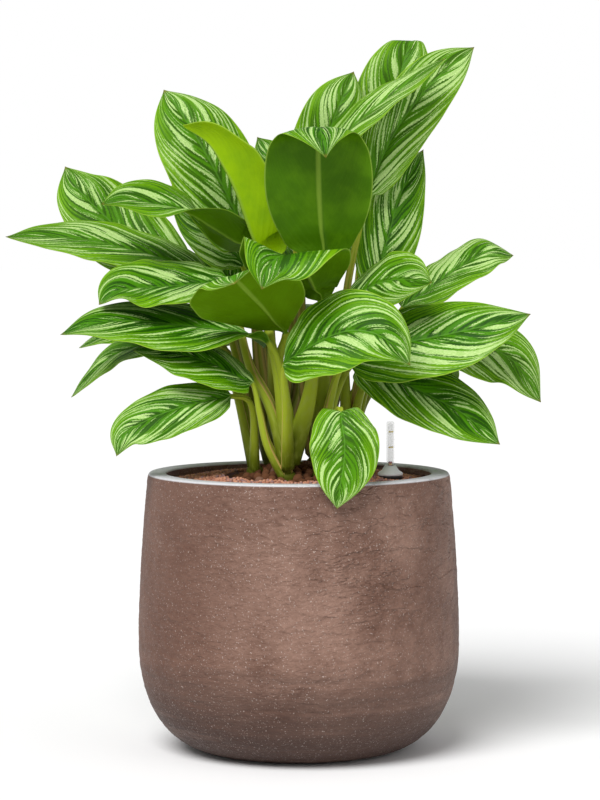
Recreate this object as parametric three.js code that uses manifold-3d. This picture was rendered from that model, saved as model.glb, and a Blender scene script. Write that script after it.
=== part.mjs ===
// Potted chinese evergreen with striped leaves, in a bellied clay-fibre planter with a water gauge.
// Units are millimetres, +Z is up, and the origin is the centre of the planter's underside.
// Y points away from the side that the plant faces.
import * as THREE from 'three';
import { mergeVertices } from 'three/addons/utils/BufferGeometryUtils.js';
import Module from 'manifold-3d';

const wasm = await Module();
wasm.setup();

// Planter
const POT_HEIGHT = 278;
const BELLY_RADIUS = 160.3;
const BELLY_HEIGHT = 110;
const RIM_RADIUS = 150.5;
const BASE_RADIUS = 80;
const WALL = 18;
const FLOOR = 24;
const CORNER_STEPS = 6;
const SIDE_STEPS = 3;
const POT_SIDES = 48;
const SIDE_CURVE = 1.7;
const CORNER_POWER = 2.2;
const INNER_CHAMFER = 8;

// Fills and culture pot
const GAP = 0.3;
const BED_TOP = 267;
const BED_CROWN = 7;
const BED_RINGS = 5;
const GRANULE_RELIEF = 1.6;
const CULTURE_TOP_RADIUS = 75;
const CULTURE_BASE_RADIUS = 62;
const CULTURE_TOP = 264;
const CULTURE_BASE = 74;
const CULTURE_WALL = 2.4;
const CULTURE_SIDES = 26;
const MOUND_CROWN = 288;
const MOUND_EDGE = 268;
const MOUND_RADIUS = 72;
const MOUND_SHAPE = 0.8;
const MOUND_STEPS = [60, 45, 30, 15];
const PEBBLE_RADIUS = 10.4;
const PEBBLE_RINGS = [[0, 1], [19, 6], [38, 12], [60, 18]];
const PEBBLE_SINK = 4;
const PEBBLE_SPREAD = { size: 0.12, turn: 0.09, radius: 1.2, height: 1.5, spin: 3 };
const RIM_CUT_DEPTH = 60;
const RIM_CUT_REACH = 20;

// Water gauge
const GAUGE_X = 91;
const GAUGE_Y = -20;
const SHAFT_RADIUS = 12.5;
const SHAFT_BORE = 10.2;
const SHAFT_BASE = 27;
const SHAFT_TOP = 276;
const SHAFT_FLOOR = 2;
const SHAFT_HOLE_TOP = 310;
const RIB_HEIGHTS = [262, 266, 270];
const RIB_WIDTH = 2;
const RIB_DEPTH = 0.8;
const RIB_SLOPE = 0.4;
const COLLAR_TOP = 286;
const COLLAR_REACH = 8;
const COLLAR_BAND = 3;
const COLLAR_SHOULDER = [8.5, 5.5];
const COLLAR_NECK_RADIUS = 5.6;
const TUBE_RADIUS = 4;
const TUBE_BORE = 2.7;
const TUBE_TOP = 330;
const TUBE_BEVEL = 1.5;
const TIP_TOP = 290;
const TIP_LENGTH = 6;
const TIP_RADIUS = 1.9;
const ROD_RADIUS = 1.3;
const FLOAT_RADIUS = 8;
const FLOAT_HEIGHT = 60;
const FLOAT_TAPER = 4;
const GAUGE_SIDES = 12;

// Shoots: where each stands, and how high its stem reaches
const STEM_BASE = 232;
const STEM_RADIUS = 9;
const STEM_SIDES = 8;
const STEM_SHOULDER = 8;
const STEM_TIP_RADIUS = 2.5;
const SCAR_SHARE = 0.72;
const SCAR_RELIEF = 0.7;
const SCAR_HALF_WIDTH = 2;
const SHOOTS = {
  front: { x: -11, y: -48, top: 284 },
  left: { x: -44, y: -6, top: 286 },
  middle: { x: 20, y: -28, top: 286 },
  right: { x: 48, y: 6, top: 286 },
  back_left: { x: -26, y: 42, top: 290 },
  back_right: { x: 16, y: 46, top: 290 },
};

// Leaf build
const BLADE_THICKNESS = 1;
const BLADE_STATIONS = [0, 0.04, 0.15, 0.32, 0.52, 0.71, 0.88, 1];
const PETIOLE_STEPS = 3;
const SPANS = [-1, -0.5, 0, 0.5, 1];
const RING_ANGLES = [162, 126, 90, 54, 18, -18, -54, -90, -126, -162];
const BELLY_SHARE = 0.42;
const TIP_POWER = 2.2;
const FOOT_RADIUS = 7.2;
const NECK_RADIUS = 3.1;
const TYPICAL_WIDTH = 85;
const TIP_HALF_WIDTH = 0.9;
const FOLD = 8;
const DROOP = -14;
const LOBE_REACH = 3;
const LOBE_SPAN = 0.2;
const KEEL_SHARE = 0.9;
const TIP_KEEL = 0.2;
const CURVE_SAMPLES = 200;
const SLIVER = 0.04;

// Each leaf: its shoot, the height of its foot on the stem, bend points of the petiole, points of the
// midrib from blade base to tip, and the direction of the blade's right half at one or more of them.
const LEAVES = {
  leaf_back_left_tall: {
    shoot: 'back_left', foot: 284, bends: [[-43, 72, 408]],
    midrib: [[-45, 72, 497], [-61, 68, 530], [-81, 68, 572], [-103, 74, 612], [-123, 84, 643],
      [-139, 98, 664]],
    side: [[0.79, 0.4, 0.47]], width: 97, fold: 12, blunt: 3.1,
  },
  leaf_far_left_tall: {
    shoot: 'back_left', foot: 278, bends: [[-58, 68, 404], [-86, 80, 460]],
    midrib: [[-113, 86, 484], [-145, 90, 499], [-180, 96, 517], [-206, 102, 540], [-228, 108, 562],
      [-243, 124, 586]],
    side: [[0.3, 0.4, 0.85], [0.75, 0.2, 0.65]], width: 84, fold: 12, taper: 0.8, blunt: 2.6,
  },
  leaf_left_long: {
    shoot: 'left', foot: 280, bends: [[-64, 22, 400]],
    midrib: [[-96, 46, 472], [-136, 45, 491], [-181, 44, 503], [-218, 42, 511], [-260, 38, 513],
      [-296, 32, 513]],
    side: [[0, 0.86, 0.5]], width: 82, fold: 15,
  },
  leaf_left_folded: {
    shoot: 'back_left', foot: 282, bends: [[-28, 30, 420]],
    midrib: [[-41, 26, 498], [-63, 20, 509], [-87, 14, 524], [-113, 10, 539], [-149, 4, 547], [-175, -2, 550],
      [-197, -6, 545]],
    side: [[-0.3, 0.67, -0.52], [-0.3, 0.67, -0.5], [-0.25, 0.8, -0.3], [-0.1, 0.9, 0.2], [0, 0.75, 0.6],
      [0, 0.75, 0.65], [0, 0.75, 0.65]], width: 72, fold: 26, blunt: 2.8,
  },
  leaf_lime_upright: {
    shoot: 'front', foot: 276, bends: [[-19, -42, 370], [-30, -22, 428]],
    midrib: [[-25, 5, 488], [-41, 0, 506], [-51, -2, 530], [-61, -2, 557], [-73, 0, 581], [-90, 6, 607],
      [-117, 20, 625]],
    side: [[-0.4, 0.88, -0.27], [-0.2, 0.95, -0.05], [0.1, 0.96, 0.2]], width: 88, fold: 66,
  },
  leaf_centre_arched: {
    shoot: 'middle', foot: 282, bends: [[24, -28, 400]],
    midrib: [[25, -30, 490], [22, -36, 520], [20, -41, 552], [19, -46, 587], [19, -55, 611], [20, -76, 619],
      [23, -98, 607], [26, -107, 588]],
    side: [[-1, 0, 0]], width: 108, fold: 4, belly: 0.42, taper: 0.55, blunt: 2,
  },
  leaf_back_centre_tall: {
    shoot: 'back_left', foot: 276, bends: [[-8, 62, 400]],
    midrib: [[-3, 85, 520], [-13, 88, 556], [-25, 92, 587], [-43, 106, 616]],
    side: [[0.9, 0, 0.3]], width: 60, fold: 12,
  },
  leaf_top_left: {
    shoot: 'back_right', foot: 282, bends: [[4, 52, 400]],
    midrib: [[4, 60, 540], [14, 58, 576], [27, 56, 610], [40, 56, 644], [56, 70, 681]],
    side: [[0.9, 0, -0.44]], width: 68, fold: 10, blunt: 3.4,
  },
  leaf_top_back: {
    shoot: 'back_right', foot: 284, bends: [[58, 60, 440]],
    midrib: [[79, 70, 575], [88, 75, 615], [98, 80, 653], [106, 88, 687], [114, 100, 711], [120, 120, 716]],
    side: [[0.95, 0.1, -0.3], [0.95, 0.1, 0.1]], width: 84, fold: 12, blunt: 2.2,
  },
  leaf_top_right: {
    shoot: 'back_right', foot: 278, bends: [[42, 30, 400], [50, 22, 470]],
    midrib: [[69, 30, 553], [81, 28, 585], [97, 28, 618], [117, 32, 647], [140, 40, 674], [178, 58, 705]],
    side: [[0.8, 0.1, -0.58]], width: 62, fold: 15, blunt: 3,
  },
  leaf_top_narrow: {
    shoot: 'back_right', foot: 272, bends: [[22, 20, 440]],
    midrib: [[19, 12, 566], [31, 8, 594], [51, 4, 620], [83, 2, 647], [116, 4, 670], [147, 8, 691]],
    side: [[0.3, -0.86, -0.42]], width: 54, fold: 18,
  },
  leaf_right_upright: {
    shoot: 'right', foot: 282, bends: [[62, 16, 380]],
    midrib: [[77, 22, 455], [84, 33, 490], [93, 44, 522], [103, 53, 555], [127, 66, 602]],
    side: [[0.93, 0.1, -0.3]], width: 64, fold: 10,
  },
  leaf_right_raised: {
    shoot: 'right', foot: 280, bends: [[72, 24, 380]],
    midrib: [[104, 30, 440], [128, 32, 458], [148, 36, 473], [170, 42, 487], [195, 50, 499], [219, 62, 494]],
    side: [[0.2, -0.85, -0.5]], width: 66, fold: 12, blunt: 3.8,
  },
  leaf_right_round: {
    shoot: 'right', foot: 279, bends: [[46, -2, 380]],
    midrib: [[44, -8, 440], [57, -25, 455], [75, -48, 467], [99, -72, 472], [128, -102, 469]],
    side: [[-0.35, -0.4, -0.75]], width: 78, fold: 10, blunt: 2.1,
  },
  leaf_front_arched: {
    shoot: 'front', foot: 282, bends: [[-12, -76, 345]],
    midrib: [[-14, -96, 388], [3, -110, 403], [27, -120, 417], [50, -128, 424], [73, -134, 421],
      [92, -138, 408], [106, -140, 391]],
    side: [[-0.2, -0.45, -0.86]], width: 91, fold: 16, blunt: 2.1,
  },
  leaf_right_long: {
    shoot: 'middle', foot: 280, bends: [[30, -42, 350]],
    midrib: [[45, -55, 391], [75, -60, 402], [108, -66, 411], [143, -70, 418], [183, -72, 427],
      [226, -70, 438]],
    side: [[0.15, -0.6, -0.77]], width: 88, fold: 8,
  },
  leaf_far_right: {
    shoot: 'right', foot: 276, bends: [[62, 0, 360]],
    midrib: [[96, -15, 416], [125, -18, 418], [155, -20, 415], [185, -22, 405], [215, -24, 388],
      [240, -26, 349]],
    side: [[-0.3, -0.65, -0.68]], width: 82, fold: 10, blunt: 3,
  },
  leaf_lower_right: {
    shoot: 'middle', foot: 273, bends: [[34, -34, 350]],
    midrib: [[54, -38, 389], [75, -42, 383], [97, -46, 373], [127, -52, 358], [161, -58, 340],
      [197, -64, 310]],
    side: [[-0.35, -0.62, -0.7]], width: 76, fold: 10, blunt: 2.8,
  },
  leaf_front_hanging: {
    shoot: 'middle', foot: 270, bends: [[30, -80, 325], [38, -125, 348]],
    midrib: [[40, -140, 347], [41, -150, 335], [43, -156, 321], [43, -158, 304], [40, -160, 284],
      [36, -161, 256]],
    side: [[-1, 0, 0]], width: 67, fold: 6, lobe: 14, belly: 0.36,
  },
  leaf_low_left: {
    shoot: 'left', foot: 276, bends: [[-46, -34, 345]],
    midrib: [[-66, -42, 356], [-92, -48, 352], [-120, -54, 345], [-148, -60, 334], [-170, -66, 320],
      [-178, -72, 299]],
    side: [[-0.3, 0.5, 0.72], [-0.4, 0.45, 0.72], [-0.6, 0.42, 0.6]], width: 55, fold: 10, blunt: 2.8,
  },
  leaf_left_narrow: {
    shoot: 'left', foot: 278, bends: [[-66, 2, 370]],
    midrib: [[-94, 4, 415], [-129, 8, 411], [-167, 12, 402], [-195, 16, 388], [-230, 24, 351]],
    side: [[-0.2, 0.9, 0.3]], width: 60, fold: 15,
  },
  leaf_left_hidden: {
    shoot: 'back_left', foot: 270, bends: [[-60, 54, 380]],
    midrib: [[-111, 60, 418], [-152, 64, 420], [-194, 70, 414], [-226, 76, 399]],
    side: [[0, 0.9, 0.35]], width: 58, fold: 15,
  },
  leaf_left_large: {
    shoot: 'front', foot: 276, bends: [[-15, -48, 366]],
    midrib: [[-28, -42, 407], [-50, -38, 417], [-82, -36, 423], [-121, -38, 427], [-166, -42, 431],
      [-205, -48, 428], [-234, -54, 417]],
    side: [[0, 0.76, -0.6], [0, 0.9, -0.05], [0, 0.87, 0.42], [0, 0.85, 0.5], [0, 0.85, 0.5],
      [0, 0.85, 0.5], [0, 0.85, 0.5]], width: 88, fold: 10, blunt: 2.5,
  },
  leaf_left_dark: {
    shoot: 'front', foot: 272, bends: [[-30, -48, 308], [-38, -46, 340]],
    midrib: [[-45, -40, 368], [-58, -42, 375], [-80, -44, 387], [-107, -46, 396], [-136, -48, 402],
      [-163, -50, 402]],
    side: [[0, 0.8, 0.6]], width: 66, fold: 8,
  },
  leaf_left_middle: {
    shoot: 'front', foot: 280, bends: [[-27, -36, 344], [-49, -2, 386], [-61, 18, 434]],
    midrib: [[-71, 0, 468], [-90, -6, 468], [-118, -14, 465], [-152, -22, 463], [-179, -30, 460],
      [-197, -38, 446]],
    side: [[0, 0.8, 0.35], [0, 0.84, 0.55]], width: 90, fold: 20, blunt: 3.2,
  },
  leaf_centre_left_curled: {
    shoot: 'front', foot: 284, bends: [[-13, -44, 340], [-20, -37, 388]],
    midrib: [[-13, -28, 417], [-24, -46, 431], [-36, -66, 446], [-48, -86, 459], [-58, -104, 470],
      [-64, -116, 476], [-61, -124, 468]],
    side: [[-0.93, 0.31, -0.24]], width: 116, fold: 7, belly: 0.66, taper: 1.4, blunt: 2.6,
  },
  leaf_centre_front_curled: {
    shoot: 'front', foot: 285, bends: [[2, -48, 326], [12, -48, 366]],
    midrib: [[22, -46, 448], [15, -60, 464], [6, -80, 480], [-6, -106, 492], [-17, -130, 495],
      [-29, -146, 484], [-35, -152, 463]],
    side: [[-0.95, -0.2, 0.1], [-0.97, -0.2, 0.06], [-0.95, -0.25, 0.2]], width: 108, fold: 17, belly: 0.5,
    taper: 1, blunt: 1.9,
  },
  leaf_back_left_dark: {
    shoot: 'back_left', foot: 286, bends: [[-38, 78, 400]],
    midrib: [[-57, 98, 481], [-74, 106, 502], [-95, 116, 528], [-133, 136, 573]],
    side: [[0.75, 0.1, 0.65]], width: 60, fold: 10,
  },
  leaf_back_left_low: {
    shoot: 'back_left', foot: 270, bends: [[-36, 84, 380]],
    midrib: [[-50, 108, 446], [-69, 122, 468], [-87, 138, 487], [-106, 166, 508]],
    side: [[0.6, 0.2, 0.7]], width: 62, fold: 10,
  },
  leaf_rear_left_long: {
    shoot: 'back_left', foot: 280, bends: [[-52, 84, 350]],
    midrib: [[-78, 122, 398], [-100, 150, 412], [-124, 182, 416], [-146, 214, 408], [-162, 244, 388]],
    side: [[0.8, 0.58, 0.1]], width: 76, fold: 8,
  },
  leaf_rear_left_high: {
    shoot: 'back_left', foot: 286, bends: [[-30, 92, 400]],
    midrib: [[-44, 132, 462], [-58, 158, 486], [-74, 188, 500], [-90, 220, 500], [-102, 248, 486]],
    side: [[0.88, 0.45, 0.1]], width: 78, fold: 8,
  },
  leaf_rear_centre: {
    shoot: 'back_left', foot: 292, bends: [[-2, 66, 350], [-4, 100, 385]],
    midrib: [[-4, 134, 420], [-4, 166, 436], [-2, 200, 440], [0, 236, 430], [2, 264, 408]],
    side: [[1, 0, 0]], width: 84, fold: 8,
  },
  leaf_rear_centre_high: {
    shoot: 'back_right', foot: 288, bends: [[6, 88, 390]],
    midrib: [[4, 120, 452], [6, 140, 482], [8, 168, 504], [12, 204, 510], [14, 244, 496]],
    side: [[1, 0, 0]], width: 62, fold: 8,
  },
  leaf_rear_right_long: {
    shoot: 'back_right', foot: 286, bends: [[62, 84, 360]],
    midrib: [[88, 118, 410], [112, 146, 426], [138, 176, 430], [162, 206, 420], [182, 234, 398]],
    side: [[0.78, -0.6, 0.1]], width: 80, fold: 8,
  },
  leaf_rear_right_high: {
    shoot: 'back_right', foot: 277, bends: [[54, 88, 420]],
    midrib: [[64, 122, 490], [74, 148, 516], [86, 178, 530], [98, 210, 526], [108, 238, 508]],
    side: [[0.9, -0.42, 0.1]], width: 72, fold: 8,
  },
  leaf_rear_right_low: {
    shoot: 'right', foot: 284, bends: [[64, 34, 342]],
    midrib: [[94, 70, 378], [112, 98, 386], [130, 126, 384], [148, 154, 370], [162, 178, 348]],
    side: [[0.8, -0.58, 0.1]], width: 68, fold: 8,
  },
};

// Keeps one closed body of a geometry's positions as a solid for joining and cutting.
function toSolid(geometry) {
  const plain = new THREE.BufferGeometry();
  plain.setAttribute('position', geometry.attributes.position);
  plain.setIndex(geometry.index);
  const merged = mergeVertices(plain, 1e-4);
  return new wasm.Manifold(new wasm.Mesh({
    numProp: 3,
    vertProperties: new Float32Array(merged.attributes.position.array),
    triVerts: new Uint32Array(merged.index.array),
  }));
}

function toGeometry(solid) {
  const mesh = solid.getMesh();
  const geometry = new THREE.BufferGeometry();
  geometry.setAttribute('position', new THREE.BufferAttribute(mesh.vertProperties, 3));
  geometry.setIndex(new THREE.BufferAttribute(mesh.triVerts, 1));
  return geometry;
}

// The largest body of a cut solid: loose scraps are dropped, and slivers along the cuts are merged away.
function largestBody(solid) {
  const bodies = solid.decompose();
  bodies.sort((a, b) => b.volume() - a.volume());
  return bodies[0].asOriginal().simplify(SLIVER);
}

// A closed surface through rings of equal point count, in order from foot to tip.
// Past the middle of each ring the quads are split the other way, so both faces of a blade match.
function loft(rings) {
  const count = rings[0].length;
  const upper = count / 2 - 1;
  const positions = rings.flat().flatMap((point) => point.toArray());
  const index = [];
  for (let i = 0; i < rings.length - 1; i += 1) {
    for (let j = 0; j < count; j += 1) {
      const next = (j + 1) % count;
      const a = i * count + j;
      const b = i * count + next;
      const c = (i + 1) * count + next;
      const d = (i + 1) * count + j;
      index.push(...(j < upper ? [a, b, c, a, c, d] : [a, b, d, b, c, d]));
    }
  }
  const last = (rings.length - 1) * count;
  for (let j = 1; j < count - 1; j += 1) {
    index.push(0, j + 1, j);
    index.push(last, last + j, last + j + 1);
  }
  const geometry = new THREE.BufferGeometry();
  geometry.setAttribute('position', new THREE.Float32BufferAttribute(positions, 3));
  geometry.setIndex(index);
  return geometry;
}

const vector = (point) => new THREE.Vector3(...point);

// The course of a leaf from its foot on the stem to its tip, with the blade's right-hand direction.
function leafCourse(row) {
  const shoot = SHOOTS[row.shoot];
  const points = [[shoot.x, shoot.y, row.foot], ...row.bends, ...row.midrib];
  const curve = new THREE.CatmullRomCurve3(points.map(vector), false, 'catmullrom', 0.5);
  const neck = row.bends.length + 1;
  const last = points.length - 1;
  const lengths = curve.getLengths(CURVE_SAMPLES);
  const neckShare = lengths[Math.round((neck / last) * CURVE_SAMPLES)] / lengths[CURVE_SAMPLES];
  const spread = row.side.length - 1;
  const sides = points.map((_, k) => {
    const share = Math.max(0, (k - neck) / (last - neck)) * spread;
    const low = Math.min(Math.floor(share), spread);
    const high = Math.min(low + 1, spread);
    return vector(row.side[low]).lerp(vector(row.side[high]), share - low);
  });
  const sideCurve = new THREE.CatmullRomCurve3(sides, false, 'catmullrom', 0.5);
  return (share) => {
    const t = curve.getUtoTmapping(share);
    const along = curve.getTangent(t);
    const side = sideCurve.getPoint(t);
    side.addScaledVector(along, -side.dot(along)).normalize();
    return {
      centre: curve.getPoint(t), along, side, up: new THREE.Vector3().crossVectors(side, along), neckShare,
    };
  };
}

// Half width of a blade as a share of its widest: a round or tapered base, and a pointed or blunt tip.
function bladeProfile(row, u) {
  const belly = row.belly ?? BELLY_SHARE;
  if (u < belly) return (1 - (1 - u / belly) ** 2) ** (row.taper ?? 0.5);
  const q = (u - belly) / (1 - belly);
  return 1 - q ** (row.blunt ?? TIP_POWER);
}

function petioleRing(place, radius) {
  return RING_ANGLES.map((angle) => {
    const turn = THREE.MathUtils.degToRad(angle);
    return place.centre.clone()
      .addScaledVector(place.side, radius * Math.cos(turn))
      .addScaledVector(place.up, radius * Math.sin(turn));
  });
}

function petioleRadius(row, share) {
  const size = row.width / TYPICAL_WIDTH;
  return (FOOT_RADIUS * (1 - share) + NECK_RADIUS * share) * (0.5 + 0.5 * size);
}

function bladeRing(row, place, u) {
  const half = Math.max((row.width / 2) * bladeProfile(row, u), TIP_HALF_WIDTH);
  const keel = NECK_RADIUS * (1 - u) * KEEL_SHARE + TIP_KEEL;
  const lobe = (row.lobe ?? LOBE_REACH) * Math.max(0, 1 - u / LOBE_SPAN);
  const fold = row.fold ?? FOLD;
  const droop = row.droop ?? DROOP;
  const top = SPANS.map((v) => {
    const reach = Math.abs(v);
    const rise = THREE.MathUtils.degToRad(fold + droop * reach);
    return place.centre.clone()
      .addScaledVector(place.side, Math.sign(v) * half * reach * Math.cos(rise))
      .addScaledVector(place.up, half * reach * Math.sin(rise))
      .addScaledVector(place.along, -lobe * reach);
  });
  const under = SPANS.map((v, k) => {
    const depth = BLADE_THICKNESS + (v === 0 ? keel : 0);
    return top[k].clone().addScaledVector(place.up, -depth);
  });
  return [...top, ...under.reverse()];
}

function petioleRings(row, course, extra) {
  const { neckShare } = course(0);
  return Array.from({ length: PETIOLE_STEPS + 1 }, (_, k) => {
    const share = k / PETIOLE_STEPS;
    return petioleRing(course(share * neckShare), petioleRadius(row, share) + extra);
  });
}

function leafSolid(row) {
  const course = leafCourse(row);
  const { neckShare } = course(0);
  const blade = BLADE_STATIONS.slice(1).map((u) => bladeRing(row, course(neckShare + (1 - neckShare) * u), u));
  return toSolid(loft([...petioleRings(row, course, 0), ...blade]));
}

function petioleSolid(row, extra) {
  return toSolid(loft(petioleRings(row, leafCourse(row), extra)));
}

// A body turned about a vertical axis through (x, y).
function turned(profile, sides, x = 0, y = 0) {
  const geometry = new THREE.LatheGeometry(profile.map(([r, z]) => new THREE.Vector2(r, z)), sides);
  geometry.rotateX(Math.PI / 2);
  geometry.translate(x, y, 0);
  return toSolid(geometry);
}

function outerRadius(z) {
  if (z >= BELLY_HEIGHT) {
    const s = (z - BELLY_HEIGHT) / (POT_HEIGHT - BELLY_HEIGHT);
    return BELLY_RADIUS - (BELLY_RADIUS - RIM_RADIUS) * s ** SIDE_CURVE;
  }
  const s = 1 - z / BELLY_HEIGHT;
  return BASE_RADIUS + (BELLY_RADIUS - BASE_RADIUS) * (1 - s ** CORNER_POWER) ** (1 / CORNER_POWER);
}

function potProfile(inset, low) {
  const corner = Array.from({ length: CORNER_STEPS + 1 }, (_, k) => {
    const turn = (Math.PI / 2) * (k / CORNER_STEPS);
    return BELLY_HEIGHT * (1 - Math.cos(turn) ** (2 / CORNER_POWER));
  });
  const side = Array.from({ length: SIDE_STEPS }, (_, k) => (
    BELLY_HEIGHT + (POT_HEIGHT - BELLY_HEIGHT) * ((k + 1) / SIDE_STEPS)));
  return [...corner, ...side].filter((z) => z > low).map((z) => [outerRadius(z) - inset, z]);
}

function planter() {
  const outside = [[BASE_RADIUS, 0], ...potProfile(0, 0.01)];
  const corner = [outerRadius(FLOOR) - WALL - INNER_CHAMFER, FLOOR];
  const inside = [corner, ...potProfile(WALL, FLOOR + INNER_CHAMFER)];
  return turned([[0, 0], ...outside, ...inside.reverse(), [0, FLOOR]], POT_SIDES);
}

// Height relief of a bed of grains at one point of its grid.
const grain = (i, j) => {
  const wave = Math.sin(i * 12.9898 + j * 78.233) * 43758.5453;
  return (wave - Math.floor(wave)) * 2 - 1;
};

function granuleBed() {
  const inner = CULTURE_TOP_RADIUS + GAP;
  const inside = potProfile(WALL + GAP, FLOOR + INNER_CHAMFER);
  const wall = inside.filter(([, z]) => z < BED_TOP);
  const [below, above] = [wall[wall.length - 1], inside[wall.length]];
  const outer = below[0] + (above[0] - below[0]) * ((BED_TOP - below[1]) / (above[1] - below[1]));
  const top = Array.from({ length: BED_RINGS + 1 }, (_, k) => {
    const share = k / BED_RINGS;
    return [outer + (inner - outer) * share, BED_TOP + BED_CROWN * Math.sin(share * (Math.PI / 2))];
  });
  const low = FLOOR + GAP;
  const profile = [[0, low], [outerRadius(FLOOR) - WALL - INNER_CHAMFER - GAP, low], ...wall, ...top,
    [inner, CULTURE_TOP], [CULTURE_BASE_RADIUS + GAP, CULTURE_BASE - GAP], [0, CULTURE_BASE - GAP]];
  const firstTop = profile.indexOf(top[0]);
  const geometry = new THREE.LatheGeometry(profile.map(([r, z]) => new THREE.Vector2(r, z)), POT_SIDES);
  const { position } = geometry.attributes;
  for (let i = 0; i <= POT_SIDES; i += 1) {
    for (let k = 1; k < top.length; k += 1) {
      const at = i * profile.length + firstTop + k;
      position.setY(at, position.getY(at) + GRANULE_RELIEF * grain(i % POT_SIDES, k));
    }
  }
  geometry.rotateX(Math.PI / 2);
  const r = SHAFT_RADIUS + GAP;
  const hole = turned([[0, SHAFT_BASE - GAP], [r, SHAFT_BASE - GAP], [r, SHAFT_HOLE_TOP], [0, SHAFT_HOLE_TOP]],
    GAUGE_SIDES, GAUGE_X, GAUGE_Y);
  return largestBody(toSolid(geometry).subtract(hole));
}

function culturePot() {
  const r = CULTURE_TOP_RADIUS;
  const low = CULTURE_BASE_RADIUS;
  return turned([[0, CULTURE_BASE], [low, CULTURE_BASE], [r, CULTURE_TOP], [r - CULTURE_WALL, CULTURE_TOP],
    [low - CULTURE_WALL, CULTURE_BASE + CULTURE_WALL], [0, CULTURE_BASE + CULTURE_WALL]], CULTURE_SIDES);
}

function moundHeight(r) {
  const turn = (r / MOUND_RADIUS) * (Math.PI / 2);
  return MOUND_EDGE + (MOUND_CROWN - MOUND_EDGE) * Math.cos(turn) ** MOUND_SHAPE;
}

// Clay pebbles filling the culture pot, heaped into a low mound whose top layer stands out as balls.
function pebbles(cutters) {
  const rim = CULTURE_TOP_RADIUS - CULTURE_WALL - GAP;
  const floor = CULTURE_BASE + CULTURE_WALL + GAP;
  const top = MOUND_STEPS.map((at) => [at, moundHeight(at) - PEBBLE_SINK]);
  let bed = turned([[0, floor], [CULTURE_BASE_RADIUS - CULTURE_WALL - GAP, floor], [rim, CULTURE_TOP],
    [rim, MOUND_EDGE - PEBBLE_SINK], ...top, [0, MOUND_CROWN - PEBBLE_SINK]], CULTURE_SIDES);
  PEBBLE_RINGS.forEach(([radius, count], ring) => {
    for (let k = 0; k < count; k += 1) {
      const turn = ((k + 0.5 * (ring % 2)) / count) * 2 * Math.PI + PEBBLE_SPREAD.turn * grain(k, ring);
      const at = radius + PEBBLE_SPREAD.radius * grain(k + 7, ring);
      const lift = PEBBLE_SPREAD.height * grain(k, ring + 1) - PEBBLE_SINK;
      const size = PEBBLE_RADIUS * (1 + PEBBLE_SPREAD.size * grain(k, ring + 9));
      const ball = new THREE.IcosahedronGeometry(size, 0);
      ball.rotateX(PEBBLE_SPREAD.spin * grain(k, ring + 3));
      ball.rotateZ(PEBBLE_SPREAD.spin * grain(k, ring + 5));
      ball.translate(at * Math.cos(turn), at * Math.sin(turn), moundHeight(at) + lift);
      bed = bed.add(toSolid(ball));
    }
  });
  const outside = CULTURE_TOP_RADIUS + RIM_CUT_REACH;
  const low = CULTURE_TOP - RIM_CUT_DEPTH;
  const high = CULTURE_TOP + GAP;
  const collar = [[rim, low], [outside, low], [outside, high], [rim, high], [rim, low]];
  bed = bed.subtract(turned(collar, CULTURE_SIDES));
  cutters.forEach((cutter) => { bed = bed.subtract(cutter); });
  return largestBody(bed);
}

// A short stem with one ring-shaped leaf scar and a rounded-off top.
function stemSolid(shoot) {
  const r = STEM_RADIUS - SCAR_RELIEF;
  const scar = STEM_BASE + (shoot.top - STEM_BASE) * SCAR_SHARE;
  return turned([[0, STEM_BASE], [r, STEM_BASE], [r, scar - SCAR_HALF_WIDTH], [STEM_RADIUS, scar],
    [r, scar + SCAR_HALF_WIDTH], [r, shoot.top - STEM_SHOULDER], [STEM_TIP_RADIUS, shoot.top], [0, shoot.top]],
  STEM_SIDES, shoot.x, shoot.y);
}

// The plain round hole that a stem stands in.
function stemHole(shoot) {
  const r = STEM_RADIUS + GAP;
  const low = STEM_BASE - GAP;
  const high = shoot.top + GAP;
  return turned([[0, low], [r, low], [r, high], [0, high]], STEM_SIDES, shoot.x, shoot.y);
}

function gaugeShaft() {
  const groove = SHAFT_RADIUS - RIB_DEPTH;
  const ribs = RIB_HEIGHTS.flatMap((z) => [[SHAFT_RADIUS, z], [SHAFT_RADIUS, z + RIB_WIDTH],
    [groove, z + RIB_WIDTH + RIB_SLOPE], [groove, z + 2 * RIB_WIDTH - RIB_SLOPE]]);
  const floor = SHAFT_BASE + SHAFT_FLOOR;
  return turned([[0, SHAFT_BASE], [SHAFT_RADIUS, SHAFT_BASE], ...ribs, [SHAFT_RADIUS, SHAFT_TOP - RIB_WIDTH],
    [SHAFT_RADIUS, SHAFT_TOP], [SHAFT_BORE, SHAFT_TOP], [SHAFT_BORE, floor], [0, floor]],
  GAUGE_SIDES, GAUGE_X, GAUGE_Y);
}

function gaugeCollar() {
  const bore = TUBE_RADIUS + GAP;
  const plug = SHAFT_BORE - GAP;
  const low = SHAFT_TOP - COLLAR_REACH;
  const [shoulder, rise] = COLLAR_SHOULDER;
  return turned([[bore, low], [plug, low], [plug, SHAFT_TOP + GAP], [SHAFT_RADIUS, SHAFT_TOP + GAP],
    [SHAFT_RADIUS, SHAFT_TOP + COLLAR_BAND], [shoulder, SHAFT_TOP + rise], [COLLAR_NECK_RADIUS, COLLAR_TOP],
    [bore, COLLAR_TOP], [bore, low]], GAUGE_SIDES, GAUGE_X, GAUGE_Y);
}

function gaugeTube() {
  const low = SHAFT_TOP - COLLAR_REACH;
  return turned([[TUBE_BORE, low], [TUBE_RADIUS, low], [TUBE_RADIUS, TUBE_TOP - TUBE_BEVEL],
    [TUBE_RADIUS - TUBE_BEVEL, TUBE_TOP], [0, TUBE_TOP], [0, TUBE_TOP - TUBE_BEVEL],
    [TUBE_BORE, TUBE_TOP - 2 * TUBE_BEVEL], [TUBE_BORE, low]], GAUGE_SIDES, GAUGE_X, GAUGE_Y);
}

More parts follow.
